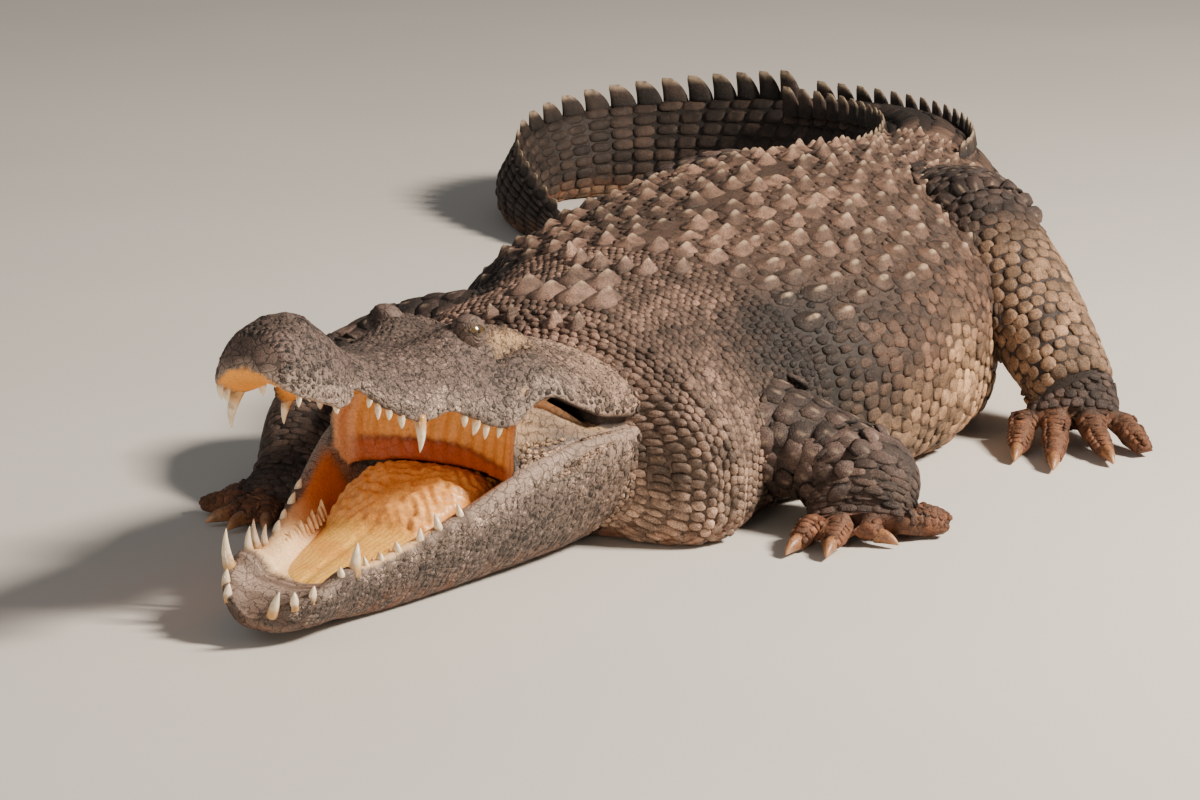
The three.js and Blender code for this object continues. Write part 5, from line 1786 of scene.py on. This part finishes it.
# %% Horny scales
def scale_finish(name, crease, tips, grain, blotch, wet=0.62, pores=0.0, cracks=0.0):
    """Scales: darker towards their low edges by the crease, a painted shade of the creases between
    them, pale on the keels by the tips, with blotches across many scales, a fine grain on each,
    dark pores and cracks between fields of which there are so many to a metre."""
    made = Finish(name)
    lift, keel, chance = made.parts(made.mark("facts"))
    colour = made.mark("tint")
    wide = made.range(made.noise(5.5, 4, 0.6), 0.36, 0.64, 1 - blotch, 1 + 0.45 * blotch)
    middle = made.range(made.noise(38, 4, 0.65), 0.34, 0.66, 0.56, 1.34)
    speck = made.noise(520, 3, 0.7)
    fine = made.range(speck, 0.36, 0.60, 1 - grain, 1 + 0.5 * grain)
    colour = made.shade(colour, made.times(wide, middle, fine))
    own = made.range(chance, 0.0, 1.0, 0.62, 1.3)
    colour = made.shade(colour, own)
    if pores:
        dots = made.range(made.cells(230, "F1"), 0.10, 0.42, 1 - pores, 1.08)
        colour = made.shade(colour, dots)
    lines = made.range(made.cells(260), 0.0, 0.10)
    if cracks:
        lines = made.range(made.cells(cracks, place=made.wavy()), 0.0, 0.10)
        colour = made.shade(colour, made.range(lines, 0.0, 0.8, 0.30, 1.0))
    # Painted shade: each scale is darkened towards its low edge, as the creases between scales
    # would be shaded.
    deep = made.range(lift, 0.02, 0.75, crease, 1.06)
    colour = made.shade(colour, deep)
    worn = made.range(keel, 0.42, 0.95)
    worn = made.times(worn, made.range(made.noise(90, 3), 0.3, 0.6, 0.3, 1.0))
    colour = made.blend(made.times(worn, tips), colour, WORN_KEEL)
    colour = soiled(made, colour)
    relief = made.maths("ADD", made.times(speck, 0.8), made.times(lines, 0.5))
    made.bump(relief, 0.8, 0.0016)
    rough = made.range(made.noise(160, 2), 0.3, 0.7, wet - 0.10, wet + 0.14)
    return made.finish(colour, rough, 0.42)


def hide_finish(name):
    """Bare hide and the lining of the mouth. facts: mouth, hide and bare shares; hide that scales
    cover is darker, a painted shade of the gaps between them.
    """
    made = Finish(name)
    mouth, _, bare = made.parts(made.mark("facts"))
    tint = made.mark("tint")
    wide = made.range(made.noise(6, 4, 0.6), 0.35, 0.65, 0.78, 1.15)
    speck = made.noise(430, 3, 0.7)
    pores = made.range(speck, 0.36, 0.56, 0.55, 1.15)
    lines = made.range(made.cells(70, place=made.wavy()), 0.0, 0.10)
    cracked = made.range(lines, 0.0, 0.8, 0.42, 1.0)
    skin_colour = made.shade(tint, made.times(wide, made.times(pores, cracked)))
    # Painted shade: hide covered by scales is darkened, as if shaded in the gaps between them.
    covered_gap_shade = made.range(bare, 0.0, 1.0, 0.42, 1.0)
    skin_colour = made.shade(skin_colour, covered_gap_shade)
    skin_colour = soiled(made, skin_colour)
    stipple = made.range(made.noise(300, 3, 0.7), 0.36, 0.56, 0.82, 1.06)
    flush = made.range(made.noise(14, 4, 0.6), 0.35, 0.65)
    lining = made.blend(made.times(flush, 0.25), tint, MOUTH_FLUSH)
    lining = made.shade(lining, stipple)
    colour = made.blend(mouth, skin_colour, lining)
    relief = made.maths("ADD", speck, made.times(lines, 0.6))
    made.bump(relief, 0.5, 0.0012)
    rough = made.range(mouth, 0.0, 1.0, 0.72, 0.42)
    return made.finish(colour, rough, 0.45)


HIDE = hide_finish("bare_hide")
SCUTES = scale_finish("keeled_scutes", 0.30, 0.55, 0.45, 0.40)
BEADS = scale_finish("round_beads", 0.20, 0.3, 0.45, 0.50)
FINE_BEADS = scale_finish("fine_beads", 0.62, 0.0, 0.75, 0.45, wet=0.66, pores=0.80, cracks=70)
FEET = scale_finish("foot_scales", 0.34, 0.2, 0.35, 0.30)


# %% Ivory, horn, eye, tongue and floor
def ivory_finish():
    """Teeth: cream at the tip, stained at the root, with fine stains running down them."""
    made = Finish("ivory")
    way, _, _ = made.parts(made.mark("facts"))
    stain = made.range(made.noise(110, 4, 0.6), 0.45, 0.68)
    stain = made.times(stain, made.range(way, 0.2, 0.9, 0.75, 0.1))
    colour = made.blend(stain, made.mark("tint"), TOOTH_STAIN)
    made.bump(made.noise(700, 2), 0.12, 0.0004)
    made.shader.inputs["Coat Weight"].default_value = 0.25
    return made.finish(colour, 0.28, 0.55)


def horn_finish():
    """Claws: dark horn with lengthwise streaks and a paler, worn point."""
    made = Finish("claw_horn")
    way, _, _ = made.parts(made.mark("facts"))
    streak = made.noise(260, 3, 0.6, distortion=1.5)
    colour = made.blend(made.range(streak, 0.35, 0.65), CLAW_DARK, CLAW_STREAK)
    colour = made.blend(made.range(way, 0.55, 1.0, 0.0, 0.7), colour, CLAW_TIP)
    colour = soiled(made, colour)
    made.bump(streak, 0.3, 0.0006)
    return made.finish(colour, 0.42, 0.5)


def eye_finish():
    """The globe: its rings of colour under a clear wet coat."""
    made = Finish("wet_eye")
    fleck = made.range(made.noise(900, 2), 0.3, 0.7, 0.8, 1.15)
    made.shader.inputs["Coat Weight"].default_value = 1.0
    made.shader.inputs["Coat Roughness"].default_value = 0.10
    return made.finish(made.shade(made.mark("tint"), fleck), 0.18, 0.5)


def tongue_finish():
    """Tongue and fringe: streaks and stipple under a wet film."""
    made = Finish("tongue_skin")
    stipple = made.range(made.noise(330, 3, 0.7), 0.34, 0.60, 0.74, 1.08)
    flush = made.range(made.noise(26, 4, 0.6), 0.42, 0.62, 0.0, 0.5)
    colour = made.blend(flush, made.mark("tint"), TONGUE_FLUSH)
    made.bump(made.noise(420, 3, 0.7), 0.4, 0.0012)
    made.shader.inputs["Coat Weight"].default_value = 0.2
    made.shader.inputs["Coat Roughness"].default_value = 0.25
    return made.finish(made.shade(colour, stipple), 0.45, 0.5)


def floor_finish():
    """A plain pale studio floor with the faintest cloudiness."""
    made = Finish("studio_floor")
    tone = made.range(made.noise(1.3, 2), 0.3, 0.7, 0.97, 1.02)
    return made.finish(made.shade((0.62, 0.60, 0.57), tone), 0.75, 0.3)


IVORY_FINISH, HORN_FINISH = ivory_finish(), horn_finish()
EYE_FINISH, TONGUE_FINISH = eye_finish(), tongue_finish()
floor_data.materials.append(floor_finish())
print("materials:", len(bpy.data.materials))


# %% [markdown]
# ## Putting the animal together
#
# Each piece now gets its finish and rides on the one body.
# The lids are joined to the skin, so the head closes round the eyes without a gap, and the skin
# replaces every node of flesh. The coats, the crest and the teeth lie over it.

# %% Skin with lids
build = bmesh.new()
build.from_mesh(hide_mesh)
build.from_mesh(lids.mesh("lids"))
build.to_mesh(hide_mesh)
build.free()
skin = make_piece("skin", hide_mesh, HIDE)
NOT_FLESH = ("eye_", "claw_", "tongue")
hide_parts(*[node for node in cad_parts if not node.startswith(NOT_FLESH)])
print("skin faces:", len(hide_mesh.polygons))

# %% Coats, crest and teeth
COAT_FINISH = {
    "scutes_back": SCUTES, "scales_tail": SCUTES, "scales_neck": BEADS, "scales_flank": BEADS,
    "scales_belly": BEADS, "scales_between": BEADS, "scales_head_left": FINE_BEADS,
    "scales_head_right": FINE_BEADS, "scales_jaw_left": FINE_BEADS,
    "scales_jaw_right": FINE_BEADS,
    "scales_legs": BEADS, "scales_toes": FEET,
}
for name, parts in coats.items():
    piece = make_piece(name, coat_mesh(name, parts), COAT_FINISH[name])
    print(name, "triangles:", sum(len(face.vertices) - 2 for face in piece.data.polygons))
crest = make_piece("crest", crest_mesh, SCUTES)
teeth = make_piece(
    "teeth", joined_rings("teeth", tooth_rings, tooth_tints, tooth_facts), IVORY_FINISH)

# %% Claws, eyes and tongue
for name, rings in claw_rings:
    way = np.linspace(0, 1, len(rings))[:, None, None] * [1.0, 0, 0] + 0 * rings
    claw = make_piece(name + "_horn", joined_rings(name, [rings], [LEG_DARK], [way]), HORN_FINISH)
    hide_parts(name)
for side, (rings, colour) in eye_rings.items():
    eye = make_piece(
        f"eyeball_{side}", joined_rings("eye", [rings], [colour], [[0, 0, 0]]), EYE_FINISH)
    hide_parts(f"eye_{side}")
tongue = make_piece("tongue_soft", tongue_mesh, TONGUE_FINISH)
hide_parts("tongue")
